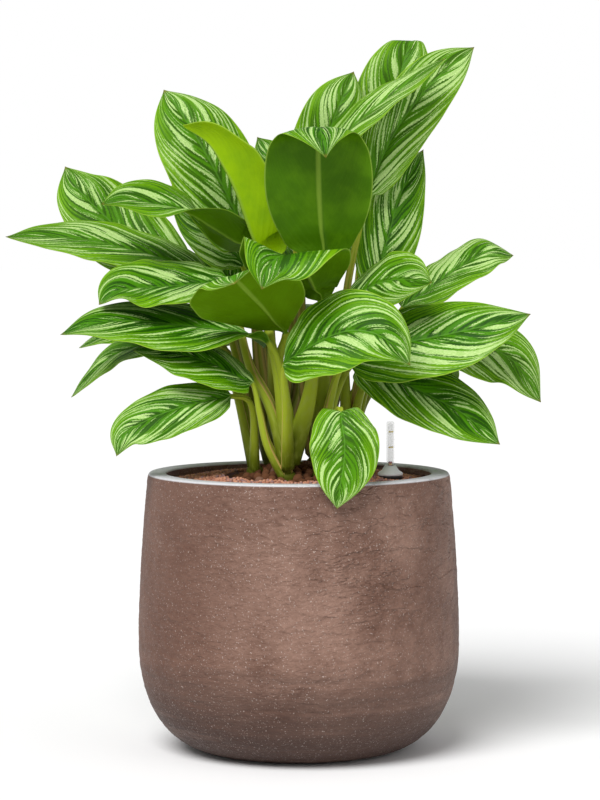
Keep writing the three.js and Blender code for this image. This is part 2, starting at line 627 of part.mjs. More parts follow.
// Float, rod and indicator tip, in one piece.
function gaugeFloat() {
  const low = SHAFT_BASE + SHAFT_FLOOR + GAP;
  const shoulder = low + FLOAT_HEIGHT;
  const tip = TIP_TOP - TIP_LENGTH;
  return turned([[0, low], [FLOAT_RADIUS, low], [FLOAT_RADIUS, shoulder], [ROD_RADIUS, shoulder + FLOAT_TAPER],
    [ROD_RADIUS, tip - 1], [TIP_RADIUS, tip], [TIP_RADIUS, TIP_TOP], [0, TIP_TOP]],
  GAUGE_SIDES, GAUGE_X, GAUGE_Y);
}

const FINISHES = {
  clay: { color: 0x7d5f55, roughness: 0.7, metalness: 0 },
  granules: { color: 0xa5634a, roughness: 0.95, metalness: 0 },
  pebbles: { color: 0x64371c, roughness: 0.95, metalness: 0 },
  black: { color: 0x1d1b1c, roughness: 0.5, metalness: 0 },
  frosted: { color: 0xdadfdd, roughness: 0.3, metalness: 0 },
  red: { color: 0xc22a18, roughness: 0.4, metalness: 0 },
  stem: { color: 0x5d7a23, roughness: 0.6, metalness: 0 },
  leaf: { color: 0x4f9a2a, roughness: 0.4, metalness: 0 },
};

const plant = new THREE.Group();

function place(name, solid, finish) {
  const mesh = new THREE.Mesh(toGeometry(solid), new THREE.MeshStandardMaterial(FINISHES[finish]));
  mesh.name = name;
  plant.add(mesh);
}

const stemHoles = Object.values(SHOOTS).map((shoot) => stemHole(shoot));
const petioleHoles = Object.values(LEAVES).map((row) => petioleSolid(row, GAP));

place('planter', planter(), 'clay');
place('culture_pot', culturePot(), 'black');
place('granule_bed', granuleBed(), 'granules');
place('clay_pebbles', pebbles([...stemHoles, ...petioleHoles]), 'pebbles');
place('gauge_shaft', gaugeShaft(), 'black');
place('gauge_collar', gaugeCollar(), 'frosted');
place('gauge_tube', gaugeTube(), 'frosted');
place('gauge_float', gaugeFloat(), 'red');
Object.entries(SHOOTS).forEach(([name, shoot]) => place(`stem_${name}`, stemSolid(shoot), 'stem'));

// A petiole ends on its stem, and beside the older petioles of the same shoot.
Object.entries(LEAVES).forEach(([name, row], k) => {
  const older = petioleHoles.filter((_, j) => j < k && Object.values(LEAVES)[j].shoot === row.shoot);
  const leaf = [...stemHoles, ...older].reduce((rest, hole) => largestBody(rest.subtract(hole)), leafSolid(row));
  place(name, leaf, 'leaf');
});

export default plant;
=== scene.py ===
"""A potted chinese evergreen with striped leaves, in a bellied clay-fibre planter with a water gauge.

Sizes are in millimetres and are scaled to metres where a mesh is made. +Z is up, the origin is the
middle of the planter's underside, and the plant faces -Y.
"""

import math

import bmesh
import bpy
from mathutils import Matrix, Vector


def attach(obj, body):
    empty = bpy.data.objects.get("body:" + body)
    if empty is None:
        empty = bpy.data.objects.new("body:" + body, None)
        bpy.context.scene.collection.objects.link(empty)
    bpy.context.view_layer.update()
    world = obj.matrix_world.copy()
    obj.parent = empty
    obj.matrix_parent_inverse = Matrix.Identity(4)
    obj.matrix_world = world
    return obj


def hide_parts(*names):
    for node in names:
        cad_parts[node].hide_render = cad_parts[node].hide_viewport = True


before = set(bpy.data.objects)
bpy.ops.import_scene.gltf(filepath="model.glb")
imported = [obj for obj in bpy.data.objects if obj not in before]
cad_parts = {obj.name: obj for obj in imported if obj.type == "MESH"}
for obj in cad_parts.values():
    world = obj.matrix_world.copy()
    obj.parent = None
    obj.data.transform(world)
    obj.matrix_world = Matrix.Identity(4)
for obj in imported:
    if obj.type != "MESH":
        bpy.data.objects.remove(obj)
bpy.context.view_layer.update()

MM = 0.001
SEAM_GAP = 1e-5

# Planter
POT_HEIGHT = 278
BELLY_RADIUS = 160.3
BELLY_HEIGHT = 110
RIM_RADIUS = 150.5
BASE_RADIUS = 80
POT_WALL = 18
POT_FLOOR = 24
SIDE_CURVE = 1.7
CORNER_POWER = 2.2
LIP_ROUND = 2.4
POT_SIDES = 320
POT_ROWS = 96
INNER_ROWS = (262, 240, 200, 150, 110, 80, 60, 44)
FLOOR_ROUND = 8
FLOOR_RING = 60
POT_RELIEF = 0.8
POT_RIDGES = 55.0
RELIEF_MARGIN = 4

# Fills: how far apart the loose pieces lie, their radii, their lift, and the lowest place for one
BED_HEIGHT = 260
MOUND_CROWN = 288
MOUND_EDGE = 268
MOUND_RADIUS = 72
MOUND_SHAPE = 0.8
MOUND_STEP = 6
BALL_LAYER = 6
FILL_FLOOR = 77
FILL_FLOOR_RADIUS = 59
FILL_RIM_RADIUS = 71.5
MOUND_SIDES = 64
BALLS = {"Spacing": 9.2, "Smallest": 4.4, "Largest": 6.2, "Lift": 2.5, "Lowest": 262}
GRAINS = {"Spacing": 3, "Smallest": 1.5, "Largest": 2.3, "Lift": 0.6, "Lowest": 258}
POINTS_TRIED = 400000.0

# Water gauge
GAUGE = (91, -20)
GAUGE_SIDES = 48
SHAFT = {"radius": 12.5, "bore": 10.2, "base": 27, "top": 276, "floor": 2}
RIB_HEIGHTS = (262, 266, 270)
RIB_WIDTH = 2
RIB_DEPTH = 0.8
SOFT_EDGE = 0.4
TUBE = {"radius": 4, "bore": 2.7, "top": 330, "round": 1.5}
COLLAR = {"low": 268, "seat": 276.3, "band": 279, "top": 286, "bore": 4.3, "plug": 9.9, "rim": 12.5,
          "neck": 5.6}
CONE_BEND = (8.5, 281.5)
FLOAT = {"low": 29.3, "radius": 8, "shoulder": 89.3, "rod": 1.3, "tip": 284, "tip_radius": 1.9}
TIP_TOP = 290
TIP_ROUND = 0.6
BAND_HEIGHT = 287.3
MARK_HEIGHTS = {"gauge_mark_low": 304.4, "gauge_mark_high": 319.8}
MARK_TURN = 8
MARK_DASHES = (-1.7, 0, 1.7)
MARK_SIZE = (1.3, 0.24, 1.5)

# Stems: where each stands, and how high it reaches
STEM_BASE = 232
STEM_RADIUS = 9
STEM_SIDES = 32
STEM_ROWS = 30
STEM_CAP_HEIGHT = 6
STEM_CAP = ((7.6, 3.5), (5.4, 1.4), (2.6, 0.3), (0, 0))
SCAR_SPACING = 13
SCAR_WIDTH = 1.6
SCAR_HEIGHT = 0.7
SHOOTS = {
    "front": (-11, -48, 284),
    "left": (-44, -6, 286),
    "middle": (20, -28, 286),
    "right": (48, 6, 286),
    "back_left": (-26, 42, 290),
    "back_right": (16, 46, 290),
}

# Studio: places in metres; at the aim, one point of the picture is one millimetre
AMBIENT = 0.42
KEY_POWER = 3.0
KEY_FROM = (-0.9, -1.8, 2.3)
KEY_SPREAD = 35
FILL_POWER = 8
FILL_FROM = (2.0, -1.8, 1.2)
FILL_WIDTH = 1.8
AIM = (0, 0, 0.35)
CAMERA_PLACE = (0, -2.8, 0.513)
SENSOR_WIDTH = 36
PICTURE_HEIGHT = 800
PICTURE_SHIFT = 1.2
FLOOR_REACH = 40

# Leaf build
COURSE_STEPS = 12
LEAF_ROWS = 110
LEAF_AROUND = 64
ROW_CROWDING = 1.35
EDGE_STEPS = (0.968, 0.02, 0.012)
STALK_SHARE = 0.2
LOBE_SHARE = 0.2
TYPICAL_WIDTH = 85
BLADE_THICKNESS = 0.8
EDGE_WAVE = 1.2
GROOVE_WIDTH = 3.2
GROOVE_DEPTH = 0.9
KEEL_WIDTH = 3.4
KEEL_DEPTH = 2.4
VEIN_COUNT = 75
VEIN_HEIGHT = 0.12
FOOT_RADIUS = 7.2
NECK_RADIUS = 3.1
SHEATH_SPREAD = 0.32
SEED_STEP = 0.618

# Each leaf: its shoot, the height of its foot on it, bend points of the stalk, points of the midrib
# from blade base to tip, the direction of the blade's right half at one or more of them, its width,
# and what isn't usual: where it is widest, how its base and its tip narrow, the angle of its fold and
# how far its edges droop in degrees, how far its base reaches back, and how light its green is. That
# lightness is partly the paler green of young leaves and partly painted light: a painted glow of light
# shining through the blade, and the upper leaves painted lighter than the lower ones.
USUAL = {"belly": 0.42, "taper": 0.5, "blunt": 2.2, "fold": 8, "droop": -14, "lobe": 3, "youth_and_painted_light": 0.2}
LEAVES = {
    "back_left_tall": dict(
        shoot="back_left", foot=284, bends=[(-43, 72, 408)],
        midrib=[(-45, 72, 497), (-61, 68, 530), (-81, 68, 572), (-103, 74, 612), (-123, 84, 643),
                (-139, 98, 664)],
        side=[(0.79, 0.4, 0.47)], width=97, fold=12, blunt=3.1, youth_and_painted_light=0.4),
    "far_left_tall": dict(
        shoot="back_left", foot=278, bends=[(-58, 68, 404), (-86, 80, 460)],
        midrib=[(-113, 86, 484), (-145, 90, 499), (-180, 96, 517), (-206, 102, 540), (-228, 108, 562),
                (-243, 124, 586)],
        side=[(0.3, 0.4, 0.85), (0.75, 0.2, 0.65)], width=84, fold=12, taper=0.8, blunt=2.6, youth_and_painted_light=0.35),
    "left_long": dict(
        shoot="left", foot=280, bends=[(-64, 22, 400)],
        midrib=[(-96, 46, 472), (-136, 45, 491), (-181, 44, 503), (-218, 42, 511), (-260, 38, 513),
                (-296, 32, 513)],
        side=[(0, 0.86, 0.5)], width=82, fold=15, youth_and_painted_light=0.3),
    "left_folded": dict(
        shoot="back_left", foot=282, bends=[(-28, 30, 420)],
        midrib=[(-41, 26, 498), (-63, 20, 509), (-87, 14, 524), (-113, 10, 539), (-149, 4, 547),
                (-175, -2, 550), (-197, -6, 545)],
        side=[(-0.3, 0.67, -0.52), (-0.3, 0.67, -0.5), (-0.25, 0.8, -0.3), (-0.1, 0.9, 0.2),
              (0, 0.75, 0.6), (0, 0.75, 0.65), (0, 0.75, 0.65)], width=72, fold=26, blunt=2.8, youth_and_painted_light=0.25),
    "lime_upright": dict(
        shoot="front", foot=276, bends=[(-19, -42, 370), (-30, -22, 428)],
        midrib=[(-25, 5, 488), (-41, 0, 506), (-51, -2, 530), (-61, -2, 557), (-73, 0, 581), (-90, 6, 607),
                (-117, 20, 625)],
        side=[(-0.4, 0.88, -0.27), (-0.2, 0.95, -0.05), (0.1, 0.96, 0.2)], width=88, fold=66, youth_and_painted_light=1.0),
    "centre_arched": dict(
        shoot="middle", foot=282, bends=[(24, -28, 400)],
        midrib=[(25, -30, 490), (22, -36, 520), (20, -41, 552), (19, -46, 587), (19, -55, 611),
                (20, -76, 619), (23, -98, 607), (26, -107, 588)],
        side=[(-1, 0, 0)], width=108, fold=4, taper=0.55, blunt=2, youth_and_painted_light=0.12),
    "back_centre_tall": dict(
        shoot="back_left", foot=276, bends=[(-8, 62, 400)],
        midrib=[(-3, 85, 520), (-13, 88, 556), (-25, 92, 587), (-43, 106, 616)],
        side=[(0.9, 0, 0.3)], width=60, fold=12),
    "top_left": dict(
        shoot="back_right", foot=282, bends=[(4, 52, 400)],
        midrib=[(4, 60, 540), (14, 58, 576), (27, 56, 610), (40, 56, 644), (56, 70, 681)],
        side=[(0.9, 0, -0.44)], width=68, fold=10, blunt=3.4, youth_and_painted_light=0.5),
    "top_back": dict(
        shoot="back_right", foot=284, bends=[(58, 60, 440)],
        midrib=[(79, 70, 575), (88, 75, 615), (98, 80, 653), (106, 88, 687), (114, 100, 711),
                (120, 120, 716)],
        side=[(0.95, 0.1, -0.3), (0.95, 0.1, 0.1)], width=84, fold=12, blunt=2.2, youth_and_painted_light=0.45),
    "top_right": dict(
        shoot="back_right", foot=278, bends=[(42, 30, 400), (50, 22, 470)],
        midrib=[(69, 30, 553), (81, 28, 585), (97, 28, 618), (117, 32, 647), (140, 40, 674),
                (178, 58, 705)],
        side=[(0.8, 0.1, -0.58)], width=62, fold=15, blunt=3, youth_and_painted_light=0.45),
    "top_narrow": dict(
        shoot="back_right", foot=272, bends=[(22, 20, 440)],
        midrib=[(19, 12, 566), (31, 8, 594), (51, 4, 620), (83, 2, 647), (116, 4, 670), (147, 8, 691)],
        side=[(0.3, -0.86, -0.42)], width=54, fold=18, youth_and_painted_light=0.55),
    "right_upright": dict(
        shoot="right", foot=282, bends=[(62, 16, 380)],
        midrib=[(77, 22, 455), (84, 33, 490), (93, 44, 522), (103, 53, 555), (127, 66, 602)],
        side=[(0.93, 0.1, -0.3)], width=64, fold=10),
    "right_raised": dict(
        shoot="right", foot=280, bends=[(72, 24, 380)],
        midrib=[(104, 30, 440), (128, 32, 458), (148, 36, 473), (170, 42, 487), (195, 50, 499),
                (219, 62, 494)],
        side=[(0.2, -0.85, -0.5)], width=66, fold=12, blunt=3.8, youth_and_painted_light=0.3),
    "right_round": dict(
        shoot="right", foot=279, bends=[(46, -2, 380)],
        midrib=[(44, -8, 440), (57, -25, 455), (75, -48, 467), (99, -72, 472), (128, -102, 469)],
        side=[(-0.35, -0.4, -0.75)], width=78, fold=10, blunt=2.1, youth_and_painted_light=0.3),
    "front_arched": dict(
        shoot="front", foot=282, bends=[(-12, -76, 345)],
        midrib=[(-14, -96, 388), (3, -110, 403), (27, -120, 417), (50, -128, 424), (73, -134, 421),
                (92, -138, 408), (106, -140, 391)],
        side=[(-0.2, -0.45, -0.86)], width=91, fold=16, blunt=2.1),
    "right_long": dict(
        shoot="middle", foot=280, bends=[(30, -42, 350)],
        midrib=[(45, -55, 391), (75, -60, 402), (108, -66, 411), (143, -70, 418), (183, -72, 427),
                (226, -70, 438)],
        side=[(0.15, -0.6, -0.77)], width=88, youth_and_painted_light=0.12),
    "far_right": dict(
        shoot="right", foot=276, bends=[(62, 0, 360)],
        midrib=[(96, -15, 416), (125, -18, 418), (155, -20, 415), (185, -22, 405), (215, -24, 388),
                (240, -26, 349)],
        side=[(-0.3, -0.65, -0.68)], width=82, fold=10, blunt=3, youth_and_painted_light=0.45),
    "lower_right": dict(
        shoot="middle", foot=273, bends=[(34, -34, 350)],
        midrib=[(54, -38, 389), (75, -42, 383), (97, -46, 373), (127, -52, 358), (161, -58, 340),
                (197, -64, 310)],
        side=[(-0.35, -0.62, -0.7)], width=76, fold=10, blunt=2.8, youth_and_painted_light=0.15),
    "front_hanging": dict(
        shoot="middle", foot=270, bends=[(30, -80, 325), (38, -125, 348)],
        midrib=[(40, -140, 347), (41, -150, 335), (43, -156, 321), (43, -158, 304), (40, -160, 284),
                (36, -161, 256)],
        side=[(-1, 0, 0)], width=67, fold=6, belly=0.36, lobe=14, youth_and_painted_light=0.35),
    "low_left": dict(
        shoot="left", foot=276, bends=[(-46, -34, 345)],
        midrib=[(-66, -42, 356), (-92, -48, 352), (-120, -54, 345), (-148, -60, 334), (-170, -66, 320),
                (-178, -72, 299)],
        side=[(-0.3, 0.5, 0.72), (-0.4, 0.45, 0.72), (-0.6, 0.42, 0.6)], width=55, fold=10, blunt=2.8),
    "left_narrow": dict(
        shoot="left", foot=278, bends=[(-66, 2, 370)],
        midrib=[(-94, 4, 415), (-129, 8, 411), (-167, 12, 402), (-195, 16, 388), (-230, 24, 351)],
        side=[(-0.2, 0.9, 0.3)], width=60, fold=15, youth_and_painted_light=0.3),
    "left_hidden": dict(
        shoot="back_left", foot=270, bends=[(-60, 54, 380)],
        midrib=[(-111, 60, 418), (-152, 64, 420), (-194, 70, 414), (-226, 76, 399)],
        side=[(0, 0.9, 0.35)], width=58, fold=15),
    "left_large": dict(
        shoot="front", foot=276, bends=[(-15, -48, 366)],
        midrib=[(-28, -42, 407), (-50, -38, 417), (-82, -36, 423), (-121, -38, 427), (-166, -42, 431),
                (-205, -48, 428), (-234, -54, 417)],
        side=[(0, 0.76, -0.6), (0, 0.9, -0.05), (0, 0.87, 0.42), (0, 0.85, 0.5), (0, 0.85, 0.5),
              (0, 0.85, 0.5), (0, 0.85, 0.5)], width=88, fold=10, blunt=2.5, youth_and_painted_light=0.05),
    "left_dark": dict(
        shoot="front", foot=272, bends=[(-30, -48, 308), (-38, -46, 340)],
        midrib=[(-45, -40, 368), (-58, -42, 375), (-80, -44, 387), (-107, -46, 396), (-136, -48, 402),
                (-163, -50, 402)],
        side=[(0, 0.8, 0.6)], width=66, youth_and_painted_light=0.05),
    "left_middle": dict(
        shoot="front", foot=280, bends=[(-27, -36, 344), (-49, -2, 386), (-61, 18, 434)],
        midrib=[(-71, 0, 468), (-90, -6, 468), (-118, -14, 465), (-152, -22, 463), (-179, -30, 460),
                (-197, -38, 446)],
        side=[(0, 0.8, 0.35), (0, 0.84, 0.55)], width=90, fold=20, blunt=3.2, youth_and_painted_light=0.12),
    "centre_left_curled": dict(
        shoot="front", foot=284, bends=[(-13, -44, 340), (-20, -37, 388)],
        midrib=[(-13, -28, 417), (-24, -46, 431), (-36, -66, 446), (-48, -86, 459), (-58, -104, 470),
                (-64, -116, 476), (-61, -124, 468)],
        side=[(-0.93, 0.31, -0.24)], width=116, fold=7, belly=0.66, taper=1.4, blunt=2.6, youth_and_painted_light=0.3),
    "centre_front_curled": dict(
        shoot="front", foot=285, bends=[(2, -48, 326), (12, -48, 366)],
        midrib=[(22, -46, 448), (15, -60, 464), (6, -80, 480), (-6, -106, 492), (-17, -130, 495),
                (-29, -146, 484), (-35, -152, 463)],
        side=[(-0.95, -0.2, 0.1), (-0.97, -0.2, 0.06), (-0.95, -0.25, 0.2)],
        width=108, fold=17, belly=0.5, taper=1, blunt=1.9),
    "back_left_dark": dict(
        shoot="back_left", foot=286, bends=[(-38, 78, 400)],
        midrib=[(-57, 98, 481), (-74, 106, 502), (-95, 116, 528), (-133, 136, 573)],
        side=[(0.75, 0.1, 0.65)], width=60, fold=10),
    "back_left_low": dict(
        shoot="back_left", foot=270, bends=[(-36, 84, 380)],
        midrib=[(-50, 108, 446), (-69, 122, 468), (-87, 138, 487), (-106, 166, 508)],
        side=[(0.6, 0.2, 0.7)], width=62, fold=10),
    "rear_left_long": dict(
        shoot="back_left", foot=280, bends=[(-52, 84, 350)],
        midrib=[(-78, 122, 398), (-100, 150, 412), (-124, 182, 416), (-146, 214, 408), (-162, 244, 388)],
        side=[(0.8, 0.58, 0.1)], width=76),
    "rear_left_high": dict(
        shoot="back_left", foot=286, bends=[(-30, 92, 400)],
        midrib=[(-44, 132, 462), (-58, 158, 486), (-74, 188, 500), (-90, 220, 500), (-102, 248, 486)],
        side=[(0.88, 0.45, 0.1)], width=78),
    "rear_centre": dict(
        shoot="back_left", foot=292, bends=[(-2, 66, 350), (-4, 100, 385)],
        midrib=[(-4, 134, 420), (-4, 166, 436), (-2, 200, 440), (0, 236, 430), (2, 264, 408)],
        side=[(1, 0, 0)], width=84),
    "rear_centre_high": dict(
        shoot="back_right", foot=288, bends=[(6, 88, 390)],
        midrib=[(4, 120, 452), (6, 140, 482), (8, 168, 504), (12, 204, 510), (14, 244, 496)],
        side=[(1, 0, 0)], width=62),
    "rear_right_long": dict(
        shoot="back_right", foot=286, bends=[(62, 84, 360)],
        midrib=[(88, 118, 410), (112, 146, 426), (138, 176, 430), (162, 206, 420), (182, 234, 398)],
        side=[(0.78, -0.6, 0.1)], width=80),
    "rear_right_high": dict(
        shoot="back_right", foot=277, bends=[(54, 88, 420)],
        midrib=[(64, 122, 490), (74, 148, 516), (86, 178, 530), (98, 210, 526), (108, 238, 508)],
        side=[(0.9, -0.42, 0.1)], width=72),
    "rear_right_low": dict(
        shoot="right", foot=284, bends=[(64, 34, 342)],
        midrib=[(94, 70, 378), (112, 98, 386), (130, 126, 384), (148, 154, 370), (162, 178, 348)],
        side=[(0.8, -0.58, 0.1)], width=68),
}


# ---------------------------------------------------------------- node trees

class Flow:
    """A number or a vector on its way through a node tree. Arithmetic on it adds maths nodes."""

    def __init__(self, tree, socket):
        self.tree = tree
        self.socket = socket

    def is_vector(self):
        return self.socket.type == "VECTOR"

    def math(self, operation, *others):
        return reading(self.tree, "ShaderNodeMath", (self, *others), operation=operation)

    def vector(self, operation, *others):
        return reading(self.tree, "ShaderNodeVectorMath", (self, *others), operation=operation)

    def dot(self, other):
        return reading(self.tree, "ShaderNodeVectorMath", (self, other), "Value", operation="DOT_PRODUCT")

    def part(self, index):
        return reading(self.tree, "ShaderNodeSeparateXYZ", (self,), index)

    def __add__(self, other):
        return self.vector("ADD", other) if self.is_vector() else self.math("ADD", other)

    def __sub__(self, other):
        return self.vector("SUBTRACT", other) if self.is_vector() else self.math("SUBTRACT", other)

    def __mul__(self, other):
        if self.is_vector():
            return self.vector("SCALE", None, None, other)
        return self.math("MULTIPLY", other)

    def __truediv__(self, other):
        return self.math("DIVIDE", other)

    def __pow__(self, other):
        return self.math("POWER", other)

    def __radd__(self, other):
        return self.math("ADD", other)

    def __rsub__(self, other):
        return reading(self.tree, "ShaderNodeMath", (other, self), operation="SUBTRACT")

    def held(self):
        """Kept from 0 to 1."""
        return reading(self.tree, "ShaderNodeClamp", (self,))

    def above(self, low):
        return self.math("MAXIMUM", low)

    def sine(self):
        return self.math("SINE")

    def cosine(self):
        return self.math("COSINE")

    def size(self):
        return self.math("ABSOLUTE")

    def step(self, low, high):
        """Goes smoothly from 0 to 1 while the number goes from low to high."""
        return reading(self.tree, "ShaderNodeMapRange", (self, low, high), interpolation_type="SMOOTHSTEP")


def node(tree, kind, inputs=(), **settings):
    """Adds a node, with its settings and what feeds its inputs, by place or by name."""
    made = tree.nodes.new(kind)
    for key, value in settings.items():
        setattr(made, key, value)
    for key, value in inputs.items() if isinstance(inputs, dict) else enumerate(inputs):
        if isinstance(value, Flow):
            tree.links.new(value.socket, made.inputs[key])
        elif value is not None:
            made.inputs[key].default_value = value
    return made


def reading(tree, kind, inputs=(), output=0, **settings):
    return Flow(tree, node(tree, kind, inputs, **settings).outputs[output])


def vector_of(*parts):
    tree = next(part.tree for part in parts if isinstance(part, Flow))
    return reading(tree, "ShaderNodeCombineXYZ", parts)


def noise(place, scale, detail=2.0, roughness=0.5):
    """Noise from 0 to 1 at a place, a number of blotches to the unit."""
    named = {"Vector": place, "Scale": scale, "Detail": detail, "Roughness": roughness}
    return reading(place.tree, "ShaderNodeTexNoise", named)


def named_value(tree, name, data_type="FLOAT"):
    return reading(tree, "GeometryNodeInputNamedAttribute", {"Name": name}, data_type=data_type)


def random_number(tree, seed, low=0.0, high=1.0):
    return reading(tree, "FunctionNodeRandomValue", {2: low, 3: high, "Seed": seed}, 1, data_type="FLOAT")


def random_vector(tree, seed, low, high):
    return reading(tree, "FunctionNodeRandomValue", {0: low, 1: high, "Seed": seed}, data_type="FLOAT_VECTOR")


def store(tree, shape, name, value, data_type="FLOAT", domain="POINT"):
    named = {"Geometry": shape, "Name": name, "Value": value}
    return reading(tree, "GeometryNodeStoreNamedAttribute", named, data_type=data_type, domain=domain)


# ---------------------------------------------------------------- shapes

def placed(name, data):
    """A new object in the scene."""
    made = bpy.data.objects.new(name, data)
    bpy.context.scene.collection.objects.link(made)
    return made


def shape_tree(name, sizes, whole=()):
    """An empty tree for one kind of shape, with a named input for each of its sizes."""
    tree = bpy.data.node_groups.new(name, "GeometryNodeTree")
    for in_out in ("INPUT", "OUTPUT"):
        tree.interface.new_socket("Geometry", in_out=in_out, socket_type="NodeSocketGeometry")
    kinds = {**dict.fromkeys(sizes, "Float"), **dict.fromkeys(whole, "Int"), "Finish": "Material"}
    for label, kind in kinds.items():
        tree.interface.new_socket(label, in_out="INPUT", socket_type="NodeSocket" + kind)
    start = tree.nodes.new("NodeGroupInput")
    return tree, {socket.name: Flow(tree, socket) for socket in start.outputs if socket.name}


def moved(tree, shape, place):
    return reading(tree, "GeometryNodeSetPosition", {"Geometry": shape, "Position": place})


def sewn(tree, shape):
    """A shape with its seams and its ends closed."""
    return reading(tree, "GeometryNodeMergeByDistance", {"Geometry": shape, "Distance": SEAM_GAP})


def close_tree(tree, shape, finish):
    """Ends a shape tree: smooth faces, instances made real, and the finish on it."""
    smooth = reading(tree, "GeometryNodeSetShadeSmooth", {"Geometry": shape})
    whole = reading(tree, "GeometryNodeRealizeInstances", {"Geometry": smooth})
    dressed = reading(tree, "GeometryNodeSetMaterial", {"Geometry": whole, "Material": finish})
    node(tree, "NodeGroupOutput", {"Geometry": dressed})


def line_mesh(name, points, **attributes):
    """A mesh of one line through points in millimetres, with a value of each attribute at each point."""
    mesh = bpy.data.meshes.new(name)
    mesh.from_pydata([Vector(p) * MM for p in points], [(k, k + 1) for k in range(len(points) - 1)], [])
    for label, values in attributes.items():
        if isinstance(values[0], (int, float)):
            made = mesh.attributes.new(label, "FLOAT", "POINT")
            made.data.foreach_set("value", values)
        else:
            made = mesh.attributes.new(label, "FLOAT_VECTOR", "POINT")
            made.data.foreach_set("vector", [x for value in values for x in value])
    return mesh


def grow(name, source, tree, sizes):
    """Runs a shape tree on a source mesh, and gives its result as a plain mesh with faces turned out."""
    carrier = placed(name + "_source", source)
    growth = carrier.modifiers.new("growth", "NODES")
    growth.node_group = tree
    for item in tree.interface.items_tree:
        if item.in_out == "INPUT" and item.name in sizes:
            growth[item.identifier] = sizes[item.name]
    graph = bpy.context.evaluated_depsgraph_get()
    mesh = bpy.data.meshes.new_from_object(carrier.evaluated_get(graph))
    bpy.data.objects.remove(carrier)
    form = bmesh.new()
    form.from_mesh(mesh)
    bmesh.ops.recalc_face_normals(form, faces=form.faces)
    form.to_mesh(mesh)
    form.free()
    mesh.name = name
    return mesh


def show(name, mesh, slot, *nodes):
    """Puts a finished mesh in the scene as a piece that moves with the plant and stands for CAD nodes."""
    piece = placed(name, mesh)
    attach(piece, "root")
    if nodes:
        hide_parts(*nodes)


def turned_tree():
    """A body turned about a vertical line, from a line of (radius, 0, height) points.

    Its relief is given at each point of the line: rough ridges that stand out from the surface.
    """
    sizes = ["Centre X", "Centre Y", "Relief", "Ridge Scale"]
    tree, size = shape_tree("turned body", sizes, ["Sides", "Rows"])
    grid = reading(tree, "GeometryNodeMeshGrid", {
        "Size X": 1.0, "Size Y": 1.0, "Vertices X": size["Sides"] + 1, "Vertices Y": size["Rows"]})
    place = reading(tree, "GeometryNodeInputPosition")
    across, down = place.part(0) + 0.5, place.part(1) + 0.5
    row = (down * (size["Rows"] - 1)).math("ROUND")

    def at_row(value, data_type):
        line = {"Geometry": size["Geometry"], "Value": value, "Index": row}
        return reading(tree, "GeometryNodeSampleIndex", line, data_type=data_type)

    point = at_row(place, "FLOAT_VECTOR")
    relief = at_row(named_value(tree, "relief"), "FLOAT")
    turn = across * math.tau
    radius, height = point.part(0), point.part(2)
    bare = vector_of(turn.cosine() * radius, turn.sine() * radius, height)
    broad = noise(bare, size["Ridge Scale"] * 0.35, 2.0)
    warped = bare + vector_of(broad * 0.01, broad * 0.01, broad * -0.01)
    fine = noise(warped, size["Ridge Scale"], 3.0, 0.55)
    ridge = 1 - ((fine - 0.5) * 6).size().held()
    proud = relief * size["Relief"] * (ridge ** 2 * 0.8 + (broad - 0.5) * 1.4)
    outer = radius + proud
    x, y = turn.cosine() * outer + size["Centre X"], turn.sine() * outer + size["Centre Y"]
    final = vector_of(x, y, height)
    close_tree(tree, sewn(tree, moved(tree, grid, final)), size["Finish"])
    return tree


def turned(name, profile, sides, finish, centre=(0, 0), relief=None, depth=0.0, ridges=60.0):
    """A closed turned body from (radius, height) points in millimetres."""
    relief = relief or [0.0] * len(profile)
    line = line_mesh(name + "_line", [(r, 0, z) for r, z in profile], relief=relief)
    sizes = {
        "Centre X": centre[0] * MM, "Centre Y": centre[1] * MM, "Relief": depth * MM, "Ridge Scale": ridges,
        "Sides": sides, "Rows": len(profile), "Finish": finish,
    }
    return grow(name, line, TURNED, sizes)


def vein_place(u, reach, bow, sweep):
    """Where on the midrib the side vein through a place begins: veins sweep on towards the tip."""
    return u + (1 - reach * bow).math("LOGARITHM", math.e) * sweep


